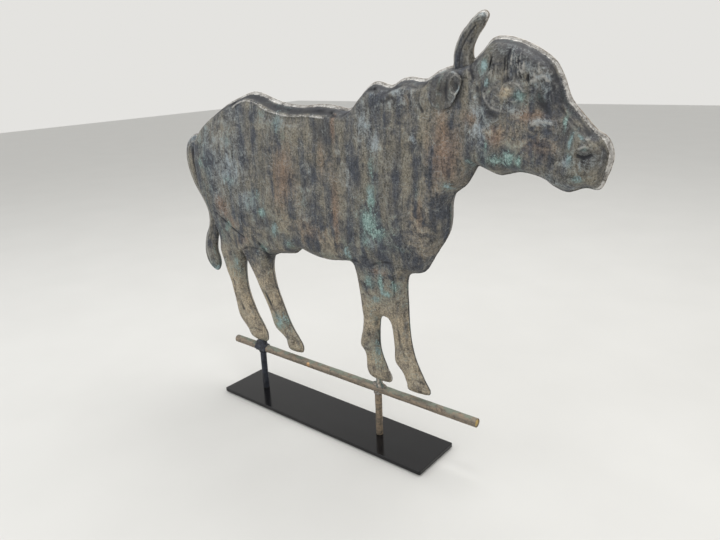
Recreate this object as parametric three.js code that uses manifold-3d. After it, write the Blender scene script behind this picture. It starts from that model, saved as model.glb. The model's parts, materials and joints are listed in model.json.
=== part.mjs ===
// Weather vane: a flattened full-bodied cow of hammered copper sheet, on a horizontal rod that turns
// on a hidden pin, displayed on a black plate. Millimetres, +Z up. The cow faces +X, its right side
// is towards -Y. Everything is laid out about the spindle (x = 0, y = 0) with the table at z = 0, and
// the whole model is moved at the end so that its origin is under the middle of its box.
import * as THREE from 'three';
import { mergeVertices } from 'three/addons/utils/BufferGeometryUtils.js';
import Module from 'manifold-3d';

const wasm = await Module();
wasm.setup();

// ---------------------------------------------------------------- driving dimensions
const gap = 0.3; // between pieces that touch
const slack = 1; // how far a cutter runs past what it cuts

const plateLength = 408;
const plateWidth = 85;
const plateThickness = 6;
const plateMiddle = -103; // x of the plate's middle, behind the spindle
const plateCornerRadius = 2;
const footDiameter = 14;
const footHeight = 2;
const footInset = 12; // from the plate's edge to the foot's middle

const rodDiameter = 12.7;
const rodWall = 1.2;
const rodAxisHeight = 85.5;
const rodRearReach = 311.5;
const rodFrontReach = 164;
const plugLength = 8; // of the brass plug in each end of the rod
const plugRecess = 0.5; // how far it sits back from the rod's end

const tubeDiameter = 10.5; // of the spindle tube and the rear post
const tubeWall = 1;
const tubeLift = 0.4; // air between the tubes and the plate
const runningClearance = 0.25; // between the pin and the tube's bore
const pinDishRadius = 2.6;
const pinDishDepth = 1.6;
const thrustPlugLength = 8;
const thrustPlugHeadroom = 1.5; // below the rod
const screwDiameter = 4;
const screwHeadDiameter = 8;
const screwHeadHeight = 2.4;
const screwLength = 18;
const ferruleThickness = 1.6;
const ferruleSpigot = 10;
const solderReach = 3; // how far a solder fillet spreads
const filletEdge = 1; // how far up the rod's underside the fillet's edge starts
const footSolderRadius = 6; // of the lump that joins the planted front hoof to the rod
const footSolderWaist = 5;
const patchThickness = 2;
const patchLength = 27;

const figureLength = 700; // from the tail to the muzzle
const sheet = 1; // copper sheet
const flange = 2.5; // width of the soldered rim round each half
const bodyDepth = 25; // how far each half bulges from the seam
const bodyRound = 60; // how far in from the rim the bulge is full
const bulgePower = 0.75; // 0.5 is a quarter of an ellipse, more is a softer edge
const legDepthShare = 0.62; // how deep the lower legs are against the body
const tailDepth = 9;
const hornDepth = 12;
const limbRound = 24;
const legRodDiameter = 5;
const braceWidth = 16;
const braceThickness = 3;
const braceOverhang = 11; // past each leg rod
const drawnBraceHeight = 240; // above the rod, at the outlines' drawn size
const drawnKneeHeight = 150; // up to here the legs keep their share of the depth
const drawnBellyHeight = 245; // from here up the depth is full
const seamProud = 0.8; // how far the solder stands out of the seam
const seamHalf = 0.3; // half the solder's thickness in the seam
const earLift = 0.4;

const roundSides = 20; // facets of tubes and rods
const cornerSegments = 3; // in a plate corner
const barSegments = 4; // in each stretch of a leg rod's round section
const bodyCell = 29; // facet size of the hammered shells
const limbCell = 14;

// ---------------------------------------------------------------- worked-out places
const rodRadius = rodDiameter / 2;
const rodTop = rodAxisHeight + rodRadius;
const tubeRadius = tubeDiameter / 2;
const plateTop = footHeight + plateThickness;
const drawnLength = 700; // the length that the outlines below are drawn at
const drawnScale = figureLength / drawnLength;

// ---------------------------------------------------------------- the cow's outlines
// Each point is [forward of the spindle, up from the top of the rod]. The stretches join end to
// end, clockwise as seen from the cow's right side.
const back = [
  [-345, 346], [-326, 365], [-299, 381], [-270, 395], [-240, 405], [-212, 412], [-190, 409],
  [-165, 401], [-140, 396], [-110, 394], [-75, 396], [-45, 393], [-30, 391], [-18, 398],
  [-5, 412], [10, 423], [22, 424], [40, 420], [55, 427], [70, 429], [90, 427], [108, 436],
  [126, 441],
];
const head = [
  [150, 446], [163, 456], [174, 467], [187, 469], [206, 465], [228, 455], [246, 442], [256, 425],
  [264, 406], [278, 390], [292, 376], [303, 369], [309, 358], [310, 347], [306, 332], [299, 317],
  [284, 317], [266, 311], [250, 316], [236, 324], [212, 328], [188, 323], [170, 328], [159, 331],
];
const chest = [
  [152, 320], [144, 308], [128, 295], [122, 281], [122, 261], [118, 241], [103, 217], [85, 190],
  [62, 182],
];
const leftFrontLeg = [
  [56, 168], [57, 140], [59, 103], [62, 80], [69, 56], [82, 31], [91, 16], [85, 10], [57, 9],
  [53, 19], [46, 34], [34, 47], [33, 72], [28, 106],
];
const rightFrontLeg = [
  [19, 111], [10, 108], [7, 80], [9, 56], [19, 32], [26, 19], [21, 10], [-7, 10], [-17, 19],
  [-19, 46], [-28, 58], [-23, 83], [-21, 104], [-24, 138], [-28, 174],
];
const belly = [[-36, 183], [-82, 178], [-108, 181], [-132, 187], [-150, 177], [-188, 170]];
const rightRearLeg = [
  [-202, 158], [-205, 138], [-199, 111], [-186, 80], [-172, 51], [-152, 26], [-149, 15],
  [-155, 9], [-180, 9], [-186, 26], [-208, 41], [-219, 70], [-238, 110], [-256, 146],
];
const leftRearLeg = [
  [-264, 159], [-271, 130], [-269, 92], [-254, 57], [-236, 31], [-231, 19], [-236, 8], [-265, 8],
  [-278, 24], [-296, 44], [-303, 80], [-309, 105], [-323, 144], [-326, 161], [-320, 184],
];
const rump = [[-326, 213], [-343, 244], [-353, 270], [-357, 300], [-355, 328]];
const cowOutline = [
  ...back, ...head, ...chest, ...leftFrontLeg, ...rightFrontLeg, ...belly, ...rightRearLeg,
  ...leftRearLeg, ...rump,
];

// Where each leg is cut from the sheet: the first points run up between the legs of a pair, and the
// last ones close the region beyond the leg. The edge over the leg is its soldered joint.
const betweenFrontLegs = [[30, -5], [29, 40], [20, 80], [20, 112], [40, 132], [45, 186]];
const betweenRearLegs = [
  [-206, -5], [-212, 24], [-232, 60], [-248, 88], [-261, 128], [-264, 160],
];
const legRegions = {
  right_front_leg: [...betweenFrontLegs, [20, 196], [-10, 198], [-40, 190], [-60, 100], [-60, -5]],
  left_front_leg: [...betweenFrontLegs, [56, 192], [78, 176], [110, 100], [110, -5]],
  right_rear_leg: [...betweenRearLegs, [-250, 172], [-215, 176], [-184, 162], [-130, 60], [-130, -5]],
  left_rear_leg: [...betweenRearLegs, [-270, 178], [-290, 198], [-316, 212], [-350, 208], [-350, -5]],
};

const hornOutline = [
  [128, 430], [126, 446], [128, 460], [135, 474], [146, 486], [156, 494], [164, 496], [168, 491],
  [163, 481], [155, 470], [150, 458], [152, 446], [158, 432], [144, 422],
];
const earOutline = [
  [150, 428], [138, 436], [120, 437], [107, 428], [106, 414], [113, 400], [124, 395], [136, 398],
  [145, 410],
];
const tailOutline = [
  [-341, 341], [-358, 346], [-374, 341], [-386, 329], [-391, 308], [-388, 286], [-377, 261],
  [-360, 238], [-350, 218], [-352, 196], [-363, 177], [-370, 153], [-366, 129], [-350, 115],
  [-338, 121], [-336, 136], [-341, 152], [-337, 171], [-329, 193], [-327, 212], [-338, 236],
  [-347, 262], [-350, 300], [-346, 326],
];

// The rods inside the planted legs, from the hoof up to the brace.
const frontRodPath = [
  [0, 10], [-2, 28], [-7, 52], [-9, 72], [-6, 100], [2, 140], [4, 180], [4, 246],
];
const rearRodPath = [
  [-248, 8], [-251, 20], [-266, 41], [-278, 60], [-286, 88], [-292, 120], [-297, 158],
  [-297, 196], [-296, 246],
];

// ---------------------------------------------------------------- solids and booleans
function solid(geometry) {
  const bare = geometry.clone();
  bare.deleteAttribute('normal');
  bare.deleteAttribute('uv');
  const merged = mergeVertices(bare, 1e-4);
  return new wasm.Manifold(new wasm.Mesh({
    numProp: 3,
    vertProperties: new Float32Array(merged.attributes.position.array),
    triVerts: new Uint32Array(merged.index.array),
  }));
}

function geometryOf(manifold) {
  const mesh = manifold.getMesh();
  const geometry = new THREE.BufferGeometry();
  geometry.setAttribute('position', new THREE.BufferAttribute(mesh.vertProperties, 3));
  geometry.setIndex(new THREE.BufferAttribute(mesh.triVerts, 1));
  geometry.computeVertexNormals();
  return geometry;
}

// A drawn outline as points [x, z] in millimetres from the spindle and the table.
function outlineOf(drawn) {
  return drawn.map(([x, z]) => new THREE.Vector2(x * drawnScale, z * drawnScale + rodTop));
}

// Moves an outline's sides inwards by a distance (outwards when it is negative).
function inset(points, distance) {
  const inward = THREE.ShapeUtils.area(points) > 0 ? 1 : -1;
  const sharpest = 0.5; // how far a corner may run past the distance, as a cosine
  return points.map((point, index) => {
    const before = points[(index + points.length - 1) % points.length];
    const after = points[(index + 1) % points.length];
    const arriving = point.clone().sub(before).normalize();
    const leaving = after.clone().sub(point).normalize();
    const along = arriving.clone().add(leaving).normalize();
    const move = inward * distance / Math.max(along.dot(arriving), sharpest);
    return new THREE.Vector2(point.x - along.y * move, point.y + along.x * move);
  });
}

// How far inside an outline a place is, or 0 where it is outside.
function depthInside(x, z, points) {
  let nearest = Infinity;
  let inside = false;
  points.forEach((start, index) => {
    const end = points[(index + 1) % points.length];
    const alongX = end.x - start.x;
    const alongZ = end.y - start.y;
    const share = ((x - start.x) * alongX + (z - start.y) * alongZ) / (alongX ** 2 + alongZ ** 2);
    const held = THREE.MathUtils.clamp(share, 0, 1);
    nearest = Math.min(nearest, Math.hypot(start.x + held * alongX - x, start.y + held * alongZ - z));
    const crosses = (start.y > z) !== (end.y > z);
    if (crosses && x < start.x + (z - start.y) / alongZ * alongX) inside = !inside;
  });
  return inside ? nearest : 0;
}

// A straight-sided block of an outline between two values of y.
function slab(points, yFrom, yTo) {
  const geometry = new THREE.ExtrudeGeometry(new THREE.Shape(points), {
    depth: yTo - yFrom,
    bevelEnabled: false,
    steps: 1,
  });
  geometry.rotateX(Math.PI / 2);
  geometry.translate(0, yTo, 0);
  return solid(geometry);
}

// A block over an outline's box whose far face is raised to heightAt(x, z) on one side of y = 0.
function mound(points, cell, side, floor, heightAt) {
  const box = new THREE.Box2().setFromPoints(points).expandByScalar(cell / 2);
  const size = box.getSize(new THREE.Vector2());
  const middle = box.getCenter(new THREE.Vector2());
  const columns = Math.ceil(size.x / cell);
  const rows = Math.ceil(size.y / cell);
  const geometry = new THREE.BoxGeometry(size.x, 1, size.y, columns, 1, rows);
  geometry.translate(middle.x, side / 2, middle.y);
  const position = geometry.attributes.position;
  for (let index = 0; index < position.count; index += 1) {
    const raised = Math.abs(position.getY(index)) > 0.5;
    const height = heightAt(position.getX(index), position.getZ(index));
    position.setY(index, side * (raised ? height : floor));
  }
  return solid(geometry);
}

// The legs and the tail's end are stamped flatter than the body.
function fullness(z) {
  const knee = rodTop + drawnKneeHeight * drawnScale;
  const underBody = rodTop + drawnBellyHeight * drawnScale;
  const share = THREE.MathUtils.smoothstep(z, knee, underBody);
  return THREE.MathUtils.lerp(legDepthShare, 1, share);
}

// How far a hammered sheet bulges: it rises in a curve from the rim, then runs level.
function bulge(points, depth, round) {
  return (x, z) => {
    const share = 1 - Math.min(depthInside(x, z, points) / round, 1);
    return depth * fullness(z) * (1 - share * share) ** bulgePower;
  };
}

// One hammered half: a bulged sheet on one side of the seam, open towards the seam, with a flat rim.
// It is made only over the part of the outline that the points of `over` enclose.
function halfShell({ points, over = points, cell, side, depth, round, rim, seam }) {
  const rise = bulge(points, depth, round);
  const rimStart = seam;
  const rimEnd = seam + sheet;
  const outer = mound(over, cell, side, rimStart, (x, z) => Math.max(rise(x, z), rimEnd))
    .intersect(slab(inset(points, rim), -depth - slack, depth + slack));
  const hollow = mound(over, cell, side, -slack, (x, z) => Math.max(rise(x, z) - sheet, seam))
    .intersect(slab(inset(points, rim + sheet), -depth - slack, depth + slack));
  const edges = [side * rimStart, side * rimEnd].sort((a, b) => a - b);
  return outer.add(slab(points, ...edges)).subtract(hollow);
}

// The space that a pair of halves fills, grown by the gap, for cutting what fits against it.
function envelope({ points, cell, depth, round, rim, seam }) {
  const rise = bulge(points, depth, round);
  const grown = inset(points, -gap - seamProud);
  const reach = seam + sheet + gap;
  const middle = slab(inset(points, rim - gap), -depth - slack, depth + slack);
  const height = (x, z) => Math.max(rise(x, z) + gap, reach);
  return [-1, 1].map((side) => mound(points, cell, side, 0, height).intersect(middle))
    .reduce((total, half) => total.add(half), slab(grown, -reach, reach));
}

function cylinder(radius, from, to, sides = roundSides) {
  const start = new THREE.Vector3(...from);
  const axis = new THREE.Vector3(...to).sub(start);
  const geometry = new THREE.CylinderGeometry(radius, radius, axis.length(), sides);
  geometry.translate(0, axis.length() / 2, 0);
  geometry.applyQuaternion(new THREE.Quaternion().setFromUnitVectors(
    new THREE.Vector3(0, 1, 0),
    axis.clone().normalize(),
  ));
  geometry.translate(start.x, start.y, start.z);
  return solid(geometry);
}

function upright(x, y, radius, bottom, top) {
  return cylinder(radius, [x, y, bottom], [x, y, top]);
}

// A turned solid about an upright axis, from [radius, z] points that start and end on the axis.
function turned(profile, x, y) {
  const points = profile.map(([r, z]) => new THREE.Vector2(r, z));
  const geometry = new THREE.LatheGeometry(points, roundSides);
  geometry.rotateX(Math.PI / 2);
  geometry.translate(x, y, 0);
  return solid(geometry);
}

// A round bar in the plane of the seam, along a drawn path that starts at the rod's axis.
function barAlong(drawn, radius) {
  const points = outlineOf(drawn).map((point) => new THREE.Vector3(point.x, 0, point.y));
  points.unshift(new THREE.Vector3(points[0].x, 0, rodAxisHeight));
  const path = new THREE.CatmullRomCurve3(points, false, 'centripetal');
  const section = new THREE.Shape().absarc(0, 0, radius, 0, Math.PI * 2);
  const steps = points.length * 2;
  const settings = { extrudePath: path, steps, curveSegments: barSegments };
  return solid(new THREE.ExtrudeGeometry(section, settings));
}

// ---------------------------------------------------------------- the stand
const rodBottom = rodAxisHeight - rodRadius;
const bore = tubeRadius - tubeWall;
const pinRadius = bore - runningClearance;
const ballRadius = pinRadius - gap;
const plugTop = rodBottom - thrustPlugHeadroom;
const plugBottom = plugTop - thrustPlugLength;
const ballHeight = plugBottom - gap - ballRadius;
const dishAngle = Math.atan(pinDishDepth / pinDishRadius);
const pinTop = ballHeight - (ballRadius + gap) / Math.cos(dishAngle) + pinDishDepth;
const screwRadius = screwDiameter / 2;
const screwSeat = footHeight + gap; // the screw's head sits just inside the plate
const screwHeadCone = [
  [0, 0], [screwHeadDiameter / 2, 0], [screwRadius, screwHeadHeight], [screwRadius, screwLength],
  [0, screwLength],
];

function basePlate() {
  const halfLength = plateLength / 2;
  const halfWidth = plateWidth / 2;
  const r = plateCornerRadius;
  const shape = new THREE.Shape();
  shape.absarc(halfLength - r, halfWidth - r, r, 0, Math.PI / 2);
  shape.absarc(r - halfLength, halfWidth - r, r, Math.PI / 2, Math.PI);
  shape.absarc(r - halfLength, r - halfWidth, r, Math.PI, Math.PI * 1.5);
  shape.absarc(halfLength - r, r - halfWidth, r, Math.PI * 1.5, Math.PI * 2);
  const geometry = new THREE.ExtrudeGeometry(shape, {
    depth: plateThickness,
    bevelEnabled: false,
    curveSegments: cornerSegments,
  });
  geometry.translate(plateMiddle, 0, footHeight);
  const hole = screwHeadCone.map(([r0, z]) => [r0 > 0 ? r0 + gap : 0, z + screwSeat]);
  const mouth = upright(0, 0, screwHeadDiameter / 2 + gap, footHeight - slack, screwSeat + gap / 2);
  return solid(geometry).subtract(turned(hole, 0, 0)).subtract(mouth);
}

function spindlePin() {
  const chamfer = 0.8;
  const body = turned([
    [0, plateTop], [pinRadius, plateTop], [pinRadius, pinTop - chamfer], [pinRadius - chamfer, pinTop],
    [pinDishRadius, pinTop], [0, pinTop - pinDishDepth],
  ], 0, 0);
  const thread = upright(0, 0, screwRadius + gap, plateTop - slack, screwSeat + screwLength + slack);
  return body.subtract(thread);
}

function spindleScrew() {
  const body = turned(screwHeadCone.map(([r, z]) => [r, z + screwSeat]), 0, 0);
  const slotWidth = 1;
  const slot = new THREE.BoxGeometry(screwHeadDiameter + slack, slotWidth, slotWidth * 2);
  slot.translate(0, 0, screwSeat);
  return body.subtract(solid(slot));
}

function pivotBall() {
  const geometry = new THREE.SphereGeometry(ballRadius, roundSides, roundSides / 2);
  geometry.translate(0, 0, ballHeight);
  return solid(geometry);
}

// ---------------------------------------------------------------- the rod and its two tubes
const legRodRadius = legRodDiameter / 2;
const frontRod = barAlong(frontRodPath, legRodRadius);
const rearRod = barAlong(rearRodPath, legRodRadius);
const legRodSpace = barAlong(frontRodPath, legRodRadius + gap)
  .add(barAlong(rearRodPath, legRodRadius + gap));
const rearPostX = rearRodPath[0][0] * drawnScale;

function alongRod(radius, xFrom, xTo) {
  return cylinder(radius, [xFrom, 0, rodAxisHeight], [xTo, 0, rodAxisHeight]);
}

const roundRod = alongRod(rodRadius + gap, -rodRearReach - slack, rodFrontReach + slack);

function rodTube() {
  const inner = rodRadius - rodWall;
  return alongRod(rodRadius, -rodRearReach, rodFrontReach)
    .subtract(alongRod(inner, -rodRearReach - slack, rodFrontReach + slack))
    .subtract(legRodSpace);
}

function rodPlug(end) {
  const start = end > 0 ? rodFrontReach - plugRecess : plugRecess - rodRearReach;
  return alongRod(rodRadius - rodWall - gap, start, start - Math.sign(end) * plugLength);
}

function standingTube(x, bottom) {
  return upright(x, 0, tubeRadius, bottom, rodAxisHeight)
    .subtract(upright(x, 0, bore, bottom - slack, rodAxisHeight + slack))
    .subtract(roundRod);
}

function spindleSolder() {
  const near = tubeRadius + gap;
  const far = tubeRadius + solderReach;
  const edge = rodBottom + filletEdge;
  const top = rodBottom + solderReach;
  const ring = turned([
    [near, rodBottom - solderReach], [far, edge], [far, top], [near, top],
    [near, rodBottom - solderReach],
  ], 0, 0);
  return ring.subtract(roundRod);
}

const tubeBottom = plateTop + tubeLift;

function rearPostFoot() {
  return turned([
    [0, tubeBottom], [tubeRadius, tubeBottom], [tubeRadius, tubeBottom + ferruleThickness],
    [bore - gap, tubeBottom + ferruleThickness],
    [bore - gap, tubeBottom + ferruleThickness + ferruleSpigot],
    [0, tubeBottom + ferruleThickness + ferruleSpigot],
  ], rearPostX, 0);
}

// ---------------------------------------------------------------- the cow
const cowPoints = outlineOf(cowOutline);
const cow = {
  points: cowPoints,
  cell: bodyCell,
  depth: bodyDepth,
  round: bodyRound,
  rim: flange,
  seam: seamHalf,
};
const cowSpace = envelope(cow);

// The part of the sheet that is a leg, or the whole space of the leg grown by a margin.
function legRegion(leg, margin) {
  return slab(inset(outlineOf(legRegions[leg]), -margin), -bodyDepth - slack, bodyDepth + slack);
}

function bodyShell(side) {
  return Object.keys(legRegions)
    .reduce((shell, leg) => shell.subtract(legRegion(leg, gap / 2)), halfShell({ ...cow, side }))
    .subtract(legRodSpace);
}

function legHalf(leg, side) {
  return halfShell({ ...cow, side, cell: limbCell, over: outlineOf(legRegions[leg]) })
    .intersect(legRegion(leg, -gap / 2))
    .subtract(legRodSpace);
}

// The rods inside the planted legs part the seam's solder into a line over the back and head and a
// line along the belly.
function seamSolder() {
  const rods = [...outlineOf(rearRodPath), ...outlineOf(frontRodPath).reverse()];
  const corners = [rods.at(-1), rods[0]].map((foot) => new THREE.Vector2(foot.x, rodAxisHeight));
  const betweenRods = slab([...rods, ...corners], -slack, slack);
  const ring = slab(inset(cowPoints, -seamProud), -seamHalf, seamHalf)
    .subtract(slab(inset(cowPoints, flange), -slack, slack))
    .subtract(legRodSpace);
  return { back: ring.subtract(betweenRods), belly: ring.intersect(betweenRods) };
}

function limbHalf(outline, depth, side) {
  const points = outlineOf(outline);
  return halfShell({ points, cell: limbCell, depth, round: limbRound, rim: 0, seam: gap / 2, side })
    .subtract(cowSpace);
}

function ear(side) {
  const rise = bulge(cowPoints, bodyDepth, bodyRound);
  const underside = (x, z) => Math.max(rise(x, z), seamHalf + sheet) + earLift;
  const leaf = slab(outlineOf(earOutline), -bodyDepth * 2, bodyDepth * 2);
  return mound(cowPoints, bodyCell, side, 0, (x, z) => underside(x, z) + sheet)
    .subtract(mound(cowPoints, bodyCell, side, -slack, underside))
    .intersect(leaf);
}

function frontFootSolder() {
  const bottom = rodTop - solderReach;
  const hoof = rodTop + frontRodPath[0][1] * drawnScale;
  const blob = turned([
    [0, bottom], [footSolderRadius, bottom], [footSolderWaist, rodTop + solderReach],
    [footSolderWaist, hoof + solderReach], [0, hoof + solderReach],
  ], frontRodPath[0][0] * drawnScale, 0);
  return blob.subtract(roundRod).subtract(legRodSpace).subtract(cowSpace);
}

function rearPostPatch() {
  const reach = rodRadius + patchThickness;
  const hoof = rodTop + rearRodPath[0][1] * drawnScale;
  return alongRod(reach, rearPostX - patchLength / 2, rearPostX + patchLength / 2)
    .add(upright(rearPostX, 0, reach, rodAxisHeight, hoof + patchThickness))
    .subtract(roundRod)
    .subtract(upright(rearPostX, 0, tubeRadius + gap, 0, rodAxisHeight))
    .subtract(legRodSpace)
    .subtract(cowSpace);
}

function bodyBrace() {
  const height = rodTop + drawnBraceHeight * drawnScale;
  const front = frontRodPath.at(-1)[0] * drawnScale + braceOverhang;
  const rear = rearRodPath.at(-1)[0] * drawnScale - braceOverhang;
  const geometry = new THREE.BoxGeometry(front - rear, braceWidth, braceThickness);
  geometry.translate((front + rear) / 2, 0, height);
  return solid(geometry).subtract(legRodSpace);
}

// ---------------------------------------------------------------- the assembly
const model = new THREE.Group();

function addPiece(name, manifold, color, roughness, metalness) {
  const material = new THREE.MeshStandardMaterial({ color, roughness, metalness });
  const mesh = new THREE.Mesh(geometryOf(manifold), material);
  mesh.name = name;
  model.add(mesh);
}

const darkCopper = [0x4a4441, 0.55, 0.7];
const paleCopper = [0x8d7a66, 0.5, 0.7];
const solderGrey = [0xa39a8c, 0.5, 0.6];
const agedRod = [0x7d7566, 0.5, 0.7];
const blueBlack = [0x22252b, 0.45, 0.5];
const brass = [0xa98b4a, 0.4, 0.9];
const steel = [0x8a8c90, 0.3, 0.9];
const blackPlate = [0x0c0c0e, 0.12, 0];
const rubber = [0x151515, 0.85, 0];

addPiece('base_plate', basePlate(), ...blackPlate);
[['front', 1], ['rear', -1]].forEach(([end, lengthways]) => {
  [['right', -1], ['left', 1]].forEach(([hand, sideways]) => {
    const x = plateMiddle + lengthways * (plateLength / 2 - footInset);
    const y = sideways * (plateWidth / 2 - footInset);
    const foot = upright(x, y, footDiameter / 2, 0, footHeight);
    addPiece(`bumper_foot_${end}_${hand}`, foot, ...rubber);
  });
});
addPiece('spindle_pin', spindlePin(), ...steel);
addPiece('spindle_screw', spindleScrew(), ...steel);
addPiece('pivot_ball', pivotBall(), ...steel);

addPiece('rod_tube', rodTube(), ...agedRod);
addPiece('rod_plug_front', rodPlug(1), ...brass);
addPiece('rod_plug_rear', rodPlug(-1), ...brass);
addPiece('spindle_tube', standingTube(0, tubeBottom), ...paleCopper);
addPiece('thrust_plug', upright(0, 0, bore - gap, plugBottom, plugTop), ...brass);
addPiece('spindle_solder', spindleSolder(), ...solderGrey);
addPiece('rear_post', standingTube(rearPostX, tubeBottom + ferruleThickness), ...blueBlack);
addPiece('rear_post_foot', rearPostFoot(), ...rubber);
addPiece('rear_post_patch', rearPostPatch(), ...blueBlack);

Object.entries(seamSolder()).forEach(([place, line]) => {
  addPiece(`seam_solder_${place}`, line, ...solderGrey);
});
[['right', -1], ['left', 1]].forEach(([hand, side]) => {
  addPiece(`${hand}_body_shell`, bodyShell(side), ...darkCopper);
  addPiece(`${hand}_horn_half`, limbHalf(hornOutline, hornDepth, side), ...darkCopper);
  addPiece(`${hand}_ear`, ear(side), ...darkCopper);
  addPiece(`${hand}_tail_half`, limbHalf(tailOutline, tailDepth, side), ...darkCopper);
  Object.keys(legRegions).forEach((leg) => {
    addPiece(`${leg}_${hand}_half`, legHalf(leg, side), ...paleCopper);
  });
});
addPiece('front_leg_rod', frontRod, ...steel);
addPiece('rear_leg_rod', rearRod, ...steel);
addPiece('body_brace', bodyBrace(), ...steel);
addPiece('front_foot_solder', frontFootSolder(), ...solderGrey);

const box = new THREE.Box3().setFromObject(model);
const middle = box.getCenter(new THREE.Vector3());
model.position.set(-middle.x, -middle.y, -box.min.z);

export default model;
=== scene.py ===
# %% [markdown]
# # A copper cow on a weather vane
#
# A flattened full-bodied weather vane is two stamped copper halves soldered edge to edge. This
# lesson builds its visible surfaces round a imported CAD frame: the sheets as height fields, the
# solder as beads that follow the seams, and the patina as layers that answer to the relief.
#
# The frame is loaded first. Its boxes say where everything goes, and its bodies carry the pieces.

# %% Load the frame
import json
import math

import bmesh
import bpy
import numpy as np
from mathutils import Matrix, Vector
from mathutils.geometry import delaunay_2d_cdt

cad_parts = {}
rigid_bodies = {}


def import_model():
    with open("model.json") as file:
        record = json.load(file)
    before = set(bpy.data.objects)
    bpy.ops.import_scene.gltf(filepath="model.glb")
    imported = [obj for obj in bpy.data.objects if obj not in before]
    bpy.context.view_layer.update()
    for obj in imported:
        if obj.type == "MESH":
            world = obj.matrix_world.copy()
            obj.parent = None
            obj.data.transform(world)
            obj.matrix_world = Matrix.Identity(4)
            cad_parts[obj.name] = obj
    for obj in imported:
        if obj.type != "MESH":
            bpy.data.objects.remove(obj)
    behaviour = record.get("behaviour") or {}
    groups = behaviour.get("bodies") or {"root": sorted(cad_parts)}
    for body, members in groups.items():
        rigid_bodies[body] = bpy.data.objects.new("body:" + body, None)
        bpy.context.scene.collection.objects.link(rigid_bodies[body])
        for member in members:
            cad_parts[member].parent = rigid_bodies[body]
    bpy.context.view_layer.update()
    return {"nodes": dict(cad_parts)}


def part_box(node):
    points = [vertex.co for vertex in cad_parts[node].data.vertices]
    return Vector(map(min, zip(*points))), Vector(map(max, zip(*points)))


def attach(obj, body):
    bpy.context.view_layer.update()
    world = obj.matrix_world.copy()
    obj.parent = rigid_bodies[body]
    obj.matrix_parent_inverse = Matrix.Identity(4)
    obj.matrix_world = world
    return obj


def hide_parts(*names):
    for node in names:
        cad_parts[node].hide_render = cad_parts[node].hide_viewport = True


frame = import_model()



def linked(name, data):
    """A new object of the scene for a mesh, a light or a camera."""
    made = bpy.data.objects.new(name, data)
    bpy.context.scene.collection.objects.link(made)
    return made


print("nodes in the frame:", len(frame["nodes"]))

# %% [markdown]
# ## Camera
#
# A vane on a stand is looked at from a little above the middle and from ahead of its shoulder, so
# that the length of the cow, the thickness of its rim and the plate all show at once.

# %% Camera
CAMERA_PLACE = Vector((0.5603, -0.6517, 0.5462))
CAMERA_AZIMUTH = math.radians(39.92)  # 0 looks along +Y
CAMERA_ELEVATION = math.radians(18.42)
CAMERA_ROLL = math.radians(-2.45)
CAMERA_LENS = 31.93  # millimetres
CAMERA_SENSOR = 36


def make_camera():
    """A camera turned by azimuth, elevation and roll, as a person would hold it."""
    data = bpy.data.cameras.new("camera")
    data.lens = CAMERA_LENS
    data.sensor_width = CAMERA_SENSOR
    camera = linked("camera", data)
    turn = Matrix.Rotation(CAMERA_AZIMUTH, 4, "Z")
    tilt = Matrix.Rotation(math.pi / 2 - CAMERA_ELEVATION, 4, "X")
    roll = Matrix.Rotation(CAMERA_ROLL, 4, "Z")
    camera.matrix_world = Matrix.Translation(CAMERA_PLACE) @ turn @ tilt @ roll
    bpy.context.scene.camera = camera


make_camera()
print("camera at", tuple(round(c, 2) for c in CAMERA_PLACE), "m")

# %% [markdown]
# ## Light
#
# One large soft light overhead shows the rim of a domed sheet best: the top edge catches it and
# the belly falls away. A window panel behind and a weak one in front fill the sides.


# %% Lights and world
def area_light(name, place, target, size, power, colour):
    """A square soft light that faces a point."""
    data = bpy.data.lights.new(name, "AREA")
    data.size = size
    data.energy = power
    data.color = colour
    light = linked(name, data)
    aim = (Vector(target) - Vector(place)).to_track_quat("-Z", "Y")
    light.matrix_world = Matrix.Translation(place) @ aim.to_matrix().to_4x4()


area_light("overhead", (0.1, 0.3, 1.9), (0, 0, 0.3), 1.6, 24, (1, 0.985, 0.96))
area_light("window", (-1.4, -1.5, 1.2), (0, 0, 0.35), 1.4, 13, (0.95, 0.975, 1))
area_light("front", (1.7, -0.9, 0.9), (0.05, 0, 0.35), 1.0, 6, (1, 0.97, 0.93))

bpy.context.scene.view_settings.view_transform = "Standard"
WALLS = (0.97, 0.96, 0.93, 1)
WALL_STRENGTH = 0.80
world = bpy.data.worlds.new("studio")
bpy.context.scene.world = world
world.use_nodes = True
backdrop = world.node_tree.nodes["Background"]
backdrop.inputs["Color"].default_value = WALLS
backdrop.inputs["Strength"].default_value = WALL_STRENGTH


# %% [markdown]
# ## A small language for finishes
#
# Patina is arithmetic on noises and masks. One class wraps a node's output and overloads the
# operators, so a mask can be written as an expression, and one method adds any other node.

# %% Shader expressions
class Value:
    """A node's output in a finish. Sums and products of numbers add Math nodes."""

    def __init__(self, finish, socket):
        self.finish = finish
        self.socket = socket

    def maths(self, operation, *others):
        return self.finish.node("ShaderNodeMath", {"operation": operation}, [self, *others])

    def __add__(self, other):
        return self.maths("ADD", other)

    __radd__ = __add__

    def __mul__(self, other):
        return self.maths("MULTIPLY", other)

    __rmul__ = __mul__

    def __sub__(self, other):
        return self.maths("SUBTRACT", other)

    def __rsub__(self, other):
        return (self * -1) + other

    def smooth(self, low, high):
        """0 below low, 1 above high, and a soft step between."""
        settings = {"interpolation_type": "SMOOTHSTEP"}
        return self.finish.node("ShaderNodeMapRange", settings, [self, low, high])

    def near(self, middle, half_width):
        """1 where the value is at the middle, 0 beyond the half width."""
        return (self - middle).maths("ABSOLUTE").smooth(half_width, 0.0)

    def clipped(self):
        return self.finish.node("ShaderNodeClamp", {}, [self, 0.0, 1.0])


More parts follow.
